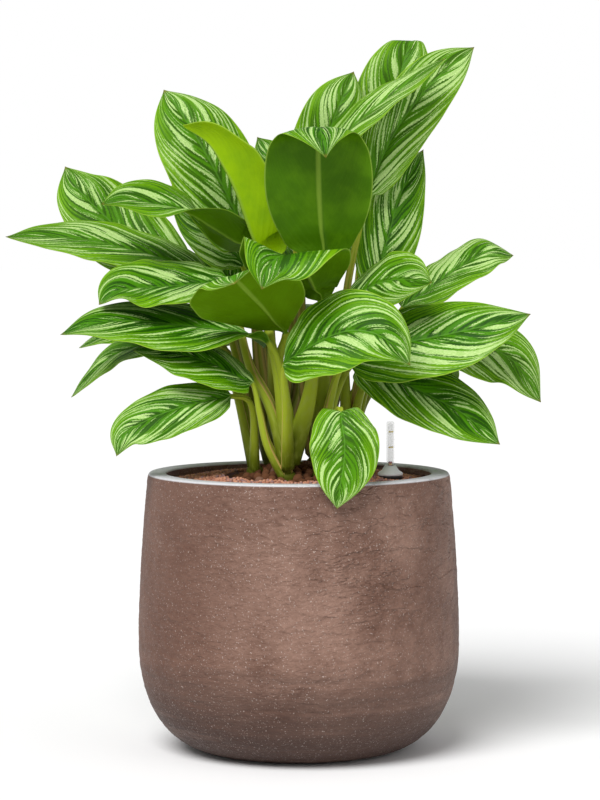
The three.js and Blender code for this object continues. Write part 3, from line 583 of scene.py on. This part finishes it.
def leaf_tree():
    """A leaf along a course: a channelled stalk that widens into a blade with a midrib.

    The course is a line with the direction of the blade's right half at each point.
    """
    sizes = ["Neck", "Half Width", "Belly", "Taper", "Blunt", "Fold", "Droop", "Lobe", "Foot Radius",
             "Neck Radius", "Seed", "Youth And Painted Light", "Wave"]
    tree, size = shape_tree("striped leaf", sizes)
    course = reading(tree, "GeometryNodeMeshToCurve", {"Mesh": size["Geometry"]})
    counts = {"Size X": 1.0, "Size Y": 1.0, "Vertices X": LEAF_ROWS, "Vertices Y": LEAF_AROUND + 1}
    grid = reading(tree, "GeometryNodeMeshGrid", counts)
    place = reading(tree, "GeometryNodeInputPosition")
    down, around = place.part(0) + 0.5, place.part(1) + 0.5
    stalk = (down / STALK_SHARE).held()
    u = ((down - STALK_SHARE) / (1 - STALK_SHARE)).held()
    share = stalk * size["Neck"] + u * (1 - size["Neck"])
    lean = named_value(tree, "side", "FLOAT_VECTOR")
    on_course = node(tree, "GeometryNodeSampleCurve", {"Curves": course, "Value": lean, "Factor": share},
                     mode="FACTOR", data_type="FLOAT_VECTOR")
    aside, centre, along = (Flow(tree, on_course.outputs[key]) for key in ("Value", "Position", "Tangent"))
    side = (aside - along * aside.dot(along)).vector("NORMALIZE")
    up = side.vector("CROSS_PRODUCT", along)

    across = 1 - (around * 4 - 2).size()
    quarter = LEAF_AROUND / 4
    steps = across.size() * quarter
    flat, first, last = EDGE_STEPS
    body = (steps / (quarter - 2)).held() ** ROW_CROWDING * flat
    reach = body + (steps - (quarter - 2)).held() * first + (steps - (quarter - 1)).held() * last
    v = across.math("SIGN") * reach
    upper = around.math("LESS_THAN", 0.5)
    belly = size["Belly"]
    swell = (1 - (1 - (u / belly).held()) ** 2) ** size["Taper"]
    onward = ((u - belly) / (1 - belly)).held()
    narrow = (1 - onward ** size["Blunt"]) * (1 - onward ** 12 * 0.45)
    profile = swell * narrow
    half = size["Half Width"] * profile
    rise = size["Fold"] + size["Droop"] * reach
    ripple = (u * 17 + v * 2.5 + size["Seed"] * 40).sine() + (u * 31 - v * 3 + size["Seed"] * 90).sine() * 0.5
    lift = half * reach * rise.sine() + ripple * size["Wave"] * reach ** 2 * profile
    inset = reach * half
    inside = 1 - reach ** 90
    rib_run = 1 - u * 0.75
    groove = (1 - (inset / (GROOVE_WIDTH * MM)).held()) ** 1.5 * rib_run * (GROOVE_DEPTH * MM)
    keel = (1 - (inset / (KEEL_WIDTH * MM)).held()) ** 1.2 * (1.1 - u) * (KEEL_DEPTH * MM)
    fade = ((1 - u) * 40).held()
    depth = (upper * groove + (1 - upper) * (keel + BLADE_THICKNESS * MM)) * inside ** 0.5 * fade
    ribs = (vein_place(u, reach, 0.95, 0.28) * VEIN_COUNT).sine() * (VEIN_HEIGHT * MM)
    veins = ribs * (1 - reach) * reach.step(0.0, 0.1) * profile * fade
    lobe = size["Lobe"] * (1 - u / LOBE_SHARE).held() * reach
    blade = (centre + side * (v * half * rise.cosine()) + up * (lift - depth + veins)) - along * lobe

    turn = (0.5 - around) * math.tau
    cosine, sine = turn.cosine(), turn.sine()
    channel = 1 - sine.above(0.0) ** 6 * 0.45
    radius = (size["Foot Radius"] * (1 - stalk) + size["Neck Radius"] * stalk) * channel
    radius = radius * (down * (LEAF_ROWS - 1)).held()
    sheath = 1 + (1 - stalk.step(0.25, 0.7)) * SHEATH_SPREAD
    ring = centre + side * (radius * cosine * sheath) + up * (radius * sine)
    opening = u.step(0.0, 0.05)
    final = ring * (1 - opening) + blade * opening

    kept = store(tree, grid, "leaf_place", vector_of(u, v, stalk), "FLOAT_VECTOR")
    own = vector_of(sine, size["Seed"], size["Youth And Painted Light"])
    kept = store(tree, kept, "leaf_turn", own, "FLOAT_VECTOR")
    kept = store(tree, kept, "leaf_upper", upper, domain="FACE")
    close_tree(tree, sewn(tree, moved(tree, kept, final)), size["Finish"])
    return tree


def smooth_course(points):
    """A line through points with evenly spaced steps between each two, straight out at both ends."""
    ends = [points[0] * 2 - points[1], *points, points[-1] * 2 - points[-2]]
    line = []
    for k in range(1, len(ends) - 2):
        before, start, end, after = ends[k - 1:k + 3]
        for step in range(COURSE_STEPS):
            t = step / COURSE_STEPS
            bend = (before * 2 - start * 5 + end * 4 - after) * t * t
            twist = (start * 3 - before - end * 3 + after) * t ** 3
            line.append((start * 2 + (end - before) * t + bend + twist) * 0.5)
    return [*line, points[-1]]


def sides_along(sides, count, neck):
    """The direction of the blade's right half at each point of a course, the same all along the stalk."""
    spread = len(sides) - 1
    along = []
    for k in range(count):
        share = max(0.0, (k - neck) / (count - 1 - neck)) * spread
        low = min(int(share), spread)
        high = min(low + 1, spread)
        along.append(Vector(sides[low]).lerp(Vector(sides[high]), share - low))
    return along


def leaf(name, row, finish, number):
    """One leaf, from its row in the table."""
    row = {**USUAL, **row}
    x, y, _ = SHOOTS[row["shoot"]]
    points = [Vector(p) for p in ((x, y, row["foot"]), *row["bends"], *row["midrib"])]
    neck = len(row["bends"]) + 1
    sides = sides_along(row["side"], len(points), neck)
    line = smooth_course(points)
    lengths = [(b - a).length for a, b in zip(line, line[1:])]
    source = line_mesh(name + "_course", line, side=smooth_course(sides))
    scale = 0.5 + 0.5 * row["width"] / TYPICAL_WIDTH
    sizes = {
        "Neck": sum(lengths[:neck * COURSE_STEPS]) / sum(lengths),
        "Half Width": row["width"] / 2 * MM,
        "Belly": row["belly"], "Taper": row["taper"], "Blunt": float(row["blunt"]),
        "Fold": math.radians(row["fold"]), "Droop": math.radians(row["droop"]),
        "Lobe": row["lobe"] * MM,
        "Foot Radius": FOOT_RADIUS * scale * MM,
        "Neck Radius": NECK_RADIUS * scale * MM,
        "Seed": (number * SEED_STEP) % 1,
        "Youth And Painted Light": row["youth_and_painted_light"],
        "Wave": EDGE_WAVE * MM,
        "Finish": finish,
    }
    mesh = grow("blade_" + name, source, LEAF, sizes)
    show("blade_" + name, mesh, "leaf", "leaf_" + name)


def fill_tree():
    """Loose balls or grains lying on the level faces of a surface."""
    tree, size = shape_tree("loose fill", ["Spacing", "Smallest", "Largest", "Lift", "Lowest"],
                            ["Ball Detail", "Seed"])
    normal = reading(tree, "GeometryNodeInputNormal").part(2)
    height = reading(tree, "GeometryNodeInputPosition").part(2)
    level = normal.math("GREATER_THAN", 0.5) * height.math("GREATER_THAN", size["Lowest"])
    points = reading(tree, "GeometryNodeDistributePointsOnFaces", {
        "Mesh": size["Geometry"], "Selection": level, "Distance Min": size["Spacing"],
        "Density Max": POINTS_TRIED, "Seed": size["Seed"]}, distribute_method="POISSON")
    ball = reading(tree, "GeometryNodeMeshIcoSphere", {"Radius": 1.0, "Subdivisions": size["Ball Detail"]})
    ball_place = reading(tree, "GeometryNodeInputPosition")
    swell = noise(ball_place, 1.3, 1.0) * 0.34 + 0.83
    ball = moved(tree, ball, ball_place * swell)
    spin = random_vector(tree, 3, (0.0, 0.0, 0.0), (math.tau,) * 3)
    girth = random_vector(tree, 5, (0.8, 0.85, 0.75), (1.12, 1.1, 1.05))
    growth = random_number(tree, 7, size["Smallest"], size["Largest"])
    laid = reading(tree, "GeometryNodeInstanceOnPoints", {
        "Points": points, "Instance": ball, "Rotation": spin, "Scale": girth * growth})
    laid = store(tree, laid, "tone", random_number(tree, 9), domain="INSTANCE")
    raised = reading(tree, "GeometryNodeTranslateInstances", {
        "Instances": laid, "Translation": vector_of(0.0, 0.0, size["Lift"]), "Local Space": False})
    close_tree(tree, raised, size["Finish"])
    return tree


TURNED = turned_tree()
LEAF = leaf_tree()
FILL = fill_tree()


# ---------------------------------------------------------------- finishes

def finish_tree(name):
    """A new material with its shader and the place on the piece."""
    material = bpy.data.materials.new(name)
    material.use_nodes = True
    tree = material.node_tree
    shader = tree.nodes["Principled BSDF"]
    place = reading(tree, "ShaderNodeTexCoord", output="Object")
    return material, shader, place


def plug(shader, **inputs):
    """Feeds a shader's sockets; a name's underscores stand for spaces."""
    for key, value in inputs.items():
        socket = shader.inputs[key.replace("_", " ")]
        if isinstance(value, Flow):
            shader.id_data.links.new(value.socket, socket)
        else:
            socket.default_value = value


def colour(red, green, blue):
    """A colour as it looks on screen, from 0 to 255, in the even steps of light that a shader works in."""
    return tuple((part / 255 / 12.92) if part < 11 else ((part / 255 + 0.055) / 1.055) ** 2.4
                 for part in (red, green, blue))


def tint(factor, low, high):
    """A colour between two colours; either may be another colour's flow."""
    full = [c if isinstance(c, Flow) else (*c, 1.0) for c in (low, high)]
    return reading(factor.tree, "ShaderNodeMix", {0: factor, 6: full[0], 7: full[1]}, 2, data_type="RGBA")


def layered(base, *coats):
    """A colour with coats laid over it in turn, each given as a share from 0 to 1 and a colour."""
    for share, coat in coats:
        base = tint(share, base, coat)
    return base


def bump(height, distance):
    return reading(height.tree, "ShaderNodeBump", {"Height": height, "Distance": distance, "Strength": 1.0})


def leaf_finish():
    """Green blade with pale frayed streaks along its side veins, plain underside and sheathed stalk, with
    painted light: a glow on the lighter leaves, and painted shade at the stalks' feet and on the stalks at
    the back.
    """
    material, shader, place = finish_tree("striped_leaf")
    tree = place.tree
    spot = reading(tree, "ShaderNodeAttribute", output="Vector", attribute_name="leaf_place")
    own = reading(tree, "ShaderNodeAttribute", output="Vector", attribute_name="leaf_turn")
    upper = reading(tree, "ShaderNodeAttribute", output="Fac", attribute_name="leaf_upper")
    u, v, stalk = (spot.part(k) for k in range(3))
    sine, seed, youth_and_painted_light = (own.part(k) for k in range(3))
    reach = v.size()
    lane = seed * 37 + v.math("GREATER_THAN", 0.0) * 5.3
    vein = vein_place(u, reach, 0.72, 0.48)

    def along_veins(run, across, down, shift, detail=0.0):
        return noise(vector_of(run * across + lane, reach * down, lane + shift), 1.0, detail)

    teeth = along_veins(vein, 140, 46, 6.0, 2.0)
    wander = along_veins(vein, 5, 3, 3.0)
    track = vein + (teeth - 0.5) * 0.042 + (wander - 0.5) * 0.06
    broad = along_veins(track, 22, 1.0, 0.0)
    narrow = along_veins(track, 56, 1.3, 9.0)
    shade = along_veins(track, 34, 1.4, 15.0, 1.0)
    patch = noise(vector_of(u * 4 + lane, v * 1.5, lane), 1.0, 0.0)
    paint = broad + (patch - 0.5) * 0.28 + (teeth - 0.5) * 0.08 + (youth_and_painted_light - 0.2) * 0.14
    inner = 1 - reach.step(0.92, 0.985)
    clear = (reach + (teeth - 0.5) * 0.1).step(0.05, 0.12)
    pale = paint.step(0.618, 0.636) * clear * inner
    halo = paint.step(0.54, 0.61) * narrow.step(0.45, 0.57) * clear * inner
    thread = (narrow + (patch - 0.5) * 0.3).step(0.65, 0.67) * clear * (1 - reach.step(0.9, 0.97))
    rib = 1 - reach.step(0.008, 0.03)
    deep = tint(reach.step(0.3, 1.0), colour(18, 66, 0), colour(50, 106, 0))
    light = tint(reach.step(0.3, 0.95), colour(62, 124, 0), colour(108, 160, 0))
    cream = tint(teeth.step(0.35, 0.7), colour(154, 194, 102), colour(196, 220, 150))
    green = layered(
        tint(shade.step(0.40, 0.58), deep, light),
        # Lighter green by the leaf's share: partly the paler green of a young leaf, partly painted glow of
        # light through the blade and upper leaves painted lighter
        (youth_and_painted_light * 0.4, colour(120, 166, 40)),
        (halo * 0.55, colour(116, 170, 62)),
        ((thread * 0.7 + pale * 0.97).held(), cream),
        (u.step(0.97, 0.995) * 0.7, colour(150, 138, 52)),
        (rib * 0.55, colour(88, 140, 45)),
        (reach.step(0.965, 0.99) * 0.75, colour(150, 185, 60)))
    mottle = noise(place, 45.0, 3.0)
    ribs = (vein * VEIN_COUNT).sine()
    back = layered(
        # The underside lightens by the same share: partly a young leaf's paler green, partly a painted glow
        # of light shining through the blade
        tint(youth_and_painted_light, colour(40, 88, 0), colour(136, 174, 0)),
        (mottle.step(0.4, 0.7) * 0.35, colour(96, 142, 10)),
        ((1 - (ribs.size() * 5).held()) * 0.07, colour(130, 170, 60)),
        ((1 - reach.step(0.02, 0.065)) * 0.75, colour(128, 160, 52)),
        (reach.step(0.965, 0.99) * 0.5, colour(150, 180, 70)))
    face = tint(upper, back, green)
    skin = noise(vector_of(sine * 3, stalk * 14, lane), 1.0, 2.0)
    sheath = sine.step(0.48, 0.60) * (1 - sine.step(0.86, 0.95)) * (1 - stalk.step(0.5, 0.9))
    # Painted shade: the stalks towards the back are darkened from their feet up to near their necks
    painted_shade_behind = place.part(1).step(-0.01, 0.05) * (1 - stalk.step(0.6, 1.0))
    stem = layered(
        # The stalks darken towards their feet: partly their own olive colour, partly painted shade among the
        # crowded stalks
        tint(stalk.step(0.0, 0.45), colour(80, 92, 14), colour(150, 166, 40)),
        (skin.step(0.45, 0.7) * 0.4, colour(150, 160, 70)),
        (sheath * 0.85, colour(200, 172, 100)),
        # Painted shade on the stalks at the back
        (painted_shade_behind * 0.75, colour(60, 60, 14)))
    skin_colour = tint(u.step(0.0, 0.025), stem, face)
    grain = noise(place, 1100.0, 2.0)
    relief = ribs * (upper * 0.2 + 0.1) * u.step(0.0, 0.05) * inner * clear + grain * 0.25 + pale * 0.1
    plug(shader, Base_Color=skin_colour, Roughness=grain * 0.10 + 0.42,
         Normal=bump(relief, 0.0005), Specular_IOR_Level=0.09)
    return material


def planter_finish():
    """Mauve-brown clay and fibre: pale specks, slate-like relief, painted shade on the left side and on the
    foot, and a pale rim that is partly a lighter lip and partly a painted sheen.
    """
    material, shader, place = finish_tree("clay_and_fibre")
    x, y, height = (place.part(k) for k in range(3))
    cloud = noise(place, 10.0, 5.0, 0.62)
    layers = noise(vector_of(x * 5, y * 5, height * 70), 1.0, 4.0, 0.6)
    wrinkle = noise(vector_of(x * 90, y * 90, height * 210), 1.0, 3.0, 0.6)
    grit = noise(place, 330.0, 3.0, 0.75)
    speck = noise(place, 640.0, 1.0)
    tone = cloud.step(0.34, 0.66) * 0.6 + (wrinkle - 0.5) * 0.7 + (grit - 0.5) * 0.7 + 0.2
    # Painted shade down the left side of the planter
    left = (x * -1 + (cloud - 0.5) * 0.16).step(0.02, 0.13)
    # Painted shade on the foot, the lower part of the planter under its belly
    foot = (height * -1 + (layers - 0.5) * 0.12).step(-0.12, -0.02)
    clay = layered(
        tint(tone.held(), colour(90, 59, 45), colour(146, 114, 99)),
        # Painted shade on the left side
        (left * 0.6, colour(93, 62, 49)),
        # Painted shade on the foot
        (foot * 0.9, colour(58, 37, 29)),
        (foot * layers.step(0.5, 0.62) * 0.4, colour(112, 86, 74)),
        (speck.step(0.665, 0.71) * 0.42, colour(206, 192, 184)),
        # The pale rim: partly the lip's own lighter tone, partly a painted sheen
        (height.step(0.2755, 0.2768), colour(206, 206, 209)))
    warped = place + vector_of(cloud * 0.05, cloud * -0.03, cloud * 0.02)
    stretched = vector_of(*(warped.part(k) * scale for k, scale in enumerate((13, 13, 36))))
    slab = noise(stretched, 1.0, 4.0, 0.6)
    crest = (1 - ((slab - 0.5) * 11).size().held()) * noise(place, 7.0, 1.0).step(0.38, 0.52)
    rough_side = x.step(-0.01, 0.05) * height.step(0.13, 0.18) * 0.75 + 0.25
    relief = (crest * 0.5 + slab.step(0.47, 0.53) * 0.4) * rough_side
    relief = relief + wrinkle * 0.5 + grit * 0.34 + layers * foot * 0.4
    plug(shader, Base_Color=clay, Roughness=0.52 + cloud * 0.12, Specular_IOR_Level=0.35,
         Normal=bump(relief, 0.0045))
    return material


def grain_finish(name, low, high, odd, odd_share, pores):
    """Dry fired clay, in a tone of its own on each piece; a share of the pieces is of the odd colour."""
    material, shader, place = finish_tree(name)
    tone = reading(place.tree, "ShaderNodeAttribute", output="Fac", attribute_name="tone")
    cloud = noise(place, pores, 3.0)
    clay = tint((tone * 0.7 + cloud * 0.5 - 0.1).held(), low, high)
    clay = tint(tone.math("LESS_THAN", odd_share) * 0.8, clay, odd)
    plug(shader, Base_Color=clay, Roughness=0.9, Specular_IOR_Level=0.15, Normal=bump(cloud, 0.0006))
    return material


def smooth_finish(name, tone_at, roughness, spread=0.08, depth=0.0001, **others):
    """A smooth skin with a fine grain. Its tone comes from a rule, by the place and the grain."""
    material, shader, place = finish_tree(name)
    grain = noise(place, 1500.0, 2.0)
    plug(shader, Base_Color=tone_at(place, grain), Roughness=grain * spread + roughness,
         Normal=bump(grain, depth), **others)
    return material


def clouded(*tone):
    """The rule for a faintly clouded tone."""
    low, high = tuple(c * 0.85 for c in tone), tuple(min(c * 1.1, 1.0) for c in tone)
    return lambda place, grain: tint(noise(place, 60.0, 2.0), low, high)


def pale_grey(_, grain):
    """The rule for the clear tube's tone."""
    return tint(grain, (.80, .80, .83), (.88, .88, .90))


def banded_red(place, grain):
    """The rule for the red float rod, with a yellow band round its tip."""
    band = 1 - ((place.part(2) - BAND_HEIGHT * MM).size() * 1500).step(0.8, 1.0)
    return tint(band, tint(grain, (.30, .006, .008), (.40, .012, .012)), colour(236, 190, 20))


LEAF_FINISH = leaf_finish()
PLANTER_FINISH = planter_finish()
GRANULE_FINISH = grain_finish("fired_granules", (.33, .115, .07), (.66, .34, .22), (.30, .19, .19), 0.2, 500)
BALL_FINISH = grain_finish("clay_balls", (.07, .026, .011), (.17, .07, .032), (.22, .12, .08), 0.15, 350)
DARK_PLASTIC = smooth_finish("dark_plastic", clouded(.020, .017, .018), 0.35)
CLEAR_PLASTIC = smooth_finish("clear_tube", pale_grey, 0.12, 0.05, 0.00005, Alpha=0.16)
FROSTED_PLASTIC = smooth_finish("frosted_plastic", clouded(.94, .94, .98), 0.3)
YELLOW_PRINT = smooth_finish("yellow_print", clouded(.95, .68, .12), 0.4)
RED_PLASTIC = smooth_finish("red_float", banded_red, 0.35)
STEM_FINISH = smooth_finish("stem_skin", clouded(.085, .10, .007), 0.6, Specular_IOR_Level=0.09)


# ---------------------------------------------------------------- planter and fills

def outer_radius(z):
    """The planter's outer radius at a height: rounded foot, fullest at the belly, drawn in to the rim."""
    if z >= BELLY_HEIGHT:
        s = (z - BELLY_HEIGHT) / (POT_HEIGHT - BELLY_HEIGHT)
        return BELLY_RADIUS - (BELLY_RADIUS - RIM_RADIUS) * s ** SIDE_CURVE
    s = 1 - z / BELLY_HEIGHT
    return BASE_RADIUS + (BELLY_RADIUS - BASE_RADIUS) * (1 - s ** CORNER_POWER) ** (1 / CORNER_POWER)


def planter_profile():
    """Points of the planter's wall from the middle of its underside, over the lip, to its inner floor."""
    corner_rows = POT_ROWS // 2
    turns = [math.pi / 2 * k / corner_rows for k in range(corner_rows + 1)]
    heights = [BELLY_HEIGHT * (1 - math.cos(turn) ** (2 / CORNER_POWER)) for turn in turns]
    top = POT_HEIGHT - LIP_ROUND
    side_rows = POT_ROWS - corner_rows
    heights += [BELLY_HEIGHT + (top - BELLY_HEIGHT) * (k + 1) / side_rows for k in range(side_rows)]
    outside = [(outer_radius(z), z) for z in heights]
    foot = [(BASE_RADIUS * k / 5, 0) for k in range(5)]
    arc = [math.pi / 2 * k / 4 for k in range(1, 5)]
    lip = [(RIM_RADIUS - LIP_ROUND * (1 - math.cos(a)), top + LIP_ROUND * math.sin(a)) for a in arc]
    inner = RIM_RADIUS - POT_WALL
    lip += [(inner + LIP_ROUND * (1 - math.sin(a)), top + LIP_ROUND * math.cos(a)) for a in arc]
    inside = [(outer_radius(z) - POT_WALL, z) for z in (*INNER_ROWS, POT_FLOOR + FLOOR_ROUND)]
    floor_edge = outer_radius(POT_FLOOR) - POT_WALL - FLOOR_ROUND
    inside += [(r, POT_FLOOR) for r in (floor_edge, FLOOR_RING, 0)]
    return foot + outside + lip + inside


def planter():
    """The planter's wall, rough outside and smooth on its rim, underside and inside."""
    profile = planter_profile()
    outside_rows = POT_ROWS + 2 * RELIEF_MARGIN
    relief = [1.0 if r > BASE_RADIUS and z < POT_HEIGHT - RELIEF_MARGIN and k < outside_rows else 0.0
              for k, (r, z) in enumerate(profile)]
    mesh = turned("planter_wall", profile, POT_SIDES, PLANTER_FINISH, relief=relief, depth=POT_RELIEF,
                  ridges=POT_RIDGES)
    show("planter_wall", mesh, "clay_fibre", "planter")


def mound_height(r):
    """How high the heap of clay balls stands at a distance from its middle."""
    return MOUND_EDGE + (MOUND_CROWN - MOUND_EDGE) * math.cos(r / MOUND_RADIUS * math.pi / 2) ** MOUND_SHAPE


def strewn(name, bed, sizes, detail, seed, finish):
    """Loose pieces on the level faces of a bed, by their sizes in millimetres."""
    scaled = {label: size * MM for label, size in sizes.items()}
    return grow(name, bed, FILL, {**scaled, "Ball Detail": detail, "Seed": seed, "Finish": finish})


def clay_balls():
    """The fill of the culture pot: one closed bed, with loose balls on it."""
    profile = [(0, FILL_FLOOR), (FILL_FLOOR_RADIUS, FILL_FLOOR), (FILL_RIM_RADIUS, BED_HEIGHT)]
    profile += [(r, mound_height(r) - BALL_LAYER) for r in range(MOUND_RADIUS, 0, -MOUND_STEP)]
    profile += [(0, MOUND_CROWN - BALL_LAYER)]
    bed = turned("ball_bed", profile, MOUND_SIDES, BALL_FINISH)
    balls = strewn("balls", bed, BALLS, 2, 4, BALL_FINISH)
    form = bmesh.new()
    form.from_mesh(bed)
    form.from_mesh(balls)
    form.to_mesh(balls)
    form.free()
    show("clay_ball_fill", balls, "pebbles", "clay_pebbles")


def granules():
    """Loose granules on the granule bed of the solids, which stays."""
    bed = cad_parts["granule_bed"].data.copy()
    mesh = strewn("loose_granules", bed, GRAINS, 1, 11, GRANULE_FINISH)
    show("loose_granules", mesh, "granules")


# ---------------------------------------------------------------- gauge and stems

def gauge():
    """The water gauge: ribbed shaft, cone collar, clear tube, and float with its red tip."""
    wide, bore, top, base = (SHAFT[key] for key in ("radius", "bore", "top", "base"))
    ribs = []
    for z in RIB_HEIGHTS:
        low = wide - RIB_DEPTH
        ribs += [(wide, z), (wide, z + RIB_WIDTH), (low, z + RIB_WIDTH + SOFT_EDGE),
                 (low, z + 2 * RIB_WIDTH - SOFT_EDGE)]
    bottom = base + SHAFT["floor"]
    shaft = [(0, base), (wide, base), *ribs, (wide, top - RIB_WIDTH), (wide, top - SOFT_EDGE),
             (wide - SOFT_EDGE, top), (bore, top), (bore, bottom), (0, bottom)]
    low, bore, held, seat = (COLLAR[key] for key in ("low", "bore", "plug", "seat"))
    rim, band, top = (COLLAR[key] for key in ("rim", "band", "top"))
    collar = [(bore, low), (held, low), (held, seat), (rim - 0.3, seat), (rim, seat + SOFT_EDGE),
              (rim, band - SOFT_EDGE), (rim - SOFT_EDGE, band), CONE_BEND, (COLLAR["neck"], top),
              (bore, top), (bore, low)]
    wide, bore, top, bend = (TUBE[key] for key in ("radius", "bore", "top", "round"))
    tube = [(bore, low), (wide, low), (wide, top - bend), (wide - 0.3 * bend, top - 0.3 * bend),
            (wide - bend, top), (0, top), (0, top - bend), (bore, top - 2 * bend), (bore, low)]
    low, wide, shoulder, thin, tip = (FLOAT[key] for key in ("low", "radius", "shoulder", "rod", "tip"))
    blunt = FLOAT["tip_radius"]
    rod = [(0, low), (wide, low), (wide, shoulder), (thin, shoulder + 4), (thin, tip - 1), (blunt, tip),
           (blunt, TIP_TOP - TIP_ROUND), (blunt - TIP_ROUND, TIP_TOP), (0, TIP_TOP)]
    parts = (
        ("gauge_foot", shaft, DARK_PLASTIC, "gauge_dark", "gauge_shaft"),
        ("gauge_cone", collar, FROSTED_PLASTIC, "gauge_clear", "gauge_collar"),
        ("gauge_sight_tube", tube, CLEAR_PLASTIC, "gauge_clear", "gauge_tube"),
        ("gauge_indicator", rod, RED_PLASTIC, "gauge_red", "gauge_float"),
    )
    for name, profile, finish, slot, replaced in parts:
        show(name, turned(name, profile, GAUGE_SIDES, finish, centre=GAUGE), slot, replaced)


def gauge_marks():
    """Two rows of raised yellow dashes on the front of the sight tube."""
    wide = TUBE["radius"]
    for name, level in MARK_HEIGHTS.items():
        form = bmesh.new()
        for place in MARK_DASHES:
            turn = math.radians(MARK_TURN) + place / wide
            spot = Vector((GAUGE[0] + wide * math.sin(turn), GAUGE[1] - wide * math.cos(turn), level))
            size = Matrix.Diagonal((*(part * MM for part in MARK_SIZE), 1))
            placing = Matrix.Translation(spot * MM) @ Matrix.Rotation(turn, 4, "Z") @ size
            bmesh.ops.create_cube(form, size=1.0, matrix=placing)
        mesh = bpy.data.meshes.new(name)
        form.to_mesh(mesh)
        form.free()
        mesh.materials.append(YELLOW_PRINT)
        show(name, mesh, "gauge_red")


def stems():
    """Short shoots with rings of old leaf scars and a rounded top."""
    for name, (x, y, top) in SHOOTS.items():
        profile = [(0, STEM_BASE)]
        for k in range(STEM_ROWS):
            z = STEM_BASE + (top - STEM_CAP_HEIGHT - STEM_BASE) * k / (STEM_ROWS - 1)
            scar = max(0.0, 1 - abs((z - STEM_BASE) % SCAR_SPACING - SCAR_SPACING // 2) / SCAR_WIDTH)
            profile.append((STEM_RADIUS + SCAR_HEIGHT * (scar - 1), z))
        profile += [(r, top - drop) for r, drop in STEM_CAP]
        mesh = turned("stem_skin_" + name, profile, STEM_SIDES, STEM_FINISH, centre=(x, y))
        show("stem_skin_" + name, mesh, "stem", "stem_" + name)


planter()
clay_balls()
granules()
gauge()
gauge_marks()
stems()
for number, (name, row) in enumerate(LEAVES.items()):
    leaf(name, row, LEAF_FINISH, number)
for name, finish in (("granule_bed", GRANULE_FINISH), ("culture_pot", DARK_PLASTIC)):
    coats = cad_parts[name].data.materials
    coats.clear()
    coats.append(finish)


# ---------------------------------------------------------------- studio and camera

def floor():
    mesh = bpy.data.meshes.new("floor")
    corners = [(x * FLOOR_REACH, y * FLOOR_REACH, 0) for x, y in ((-1, -1), (1, -1), (1, 1), (-1, 1))]
    mesh.from_pydata(corners, [], [(0, 1, 2, 3)])
    material, shader, place = finish_tree("pale_floor")
    shade = tint(noise(place, 3.0), (.93, .93, .93), (.95, .95, .95))
    plug(shader, Base_Color=shade, Roughness=0.9)
    mesh.materials.append(material)
    piece = placed("floor", mesh)


def turn_to(made, place, aim):
    """Puts a lamp or a camera at a place and turns it to what it points at."""
    made.location = place
    made.rotation_euler = (Vector(aim) - Vector(place)).to_track_quat("-Z", "Y").to_euler()


def lamp(name, kind, place, aim, power, **settings):
    light = bpy.data.lights.new(name, kind)
    light.energy = power
    for key, value in settings.items():
        setattr(light, key, value)
    turn_to(placed(name, light), place, aim)


def studio():
    """Soft light from the front and above, before a white surround."""
    world = bpy.data.worlds.new("studio")
    world.use_nodes = True
    tree = world.node_tree
    seen = reading(tree, "ShaderNodeLightPath", output="Is Camera Ray")
    around = tree.nodes["Background"]
    around.inputs["Color"].default_value = (1, 1, 1, 1)
    tree.links.new((seen * (1.0 - AMBIENT) + AMBIENT).socket, around.inputs["Strength"])
    bpy.context.scene.world = world
    lamp("key_light", "SUN", KEY_FROM, (0, 0, 0), KEY_POWER, angle=math.radians(KEY_SPREAD))
    lamp("fill_light", "AREA", FILL_FROM, AIM, FILL_POWER, shape="SQUARE", size=FILL_WIDTH)
    bpy.context.scene.view_settings.view_transform = "Standard"


def camera():
    lens = bpy.data.cameras.new("camera")
    lens.sensor_width = SENSOR_WIDTH
    lens.sensor_fit = "AUTO"
    lens.lens = (Vector(AIM) - Vector(CAMERA_PLACE)).length / MM * SENSOR_WIDTH / PICTURE_HEIGHT
    lens.shift_x = PICTURE_SHIFT / PICTURE_HEIGHT
    made = placed("camera", lens)
    turn_to(made, CAMERA_PLACE, AIM)
    bpy.context.scene.camera = made


floor()
studio()
camera()
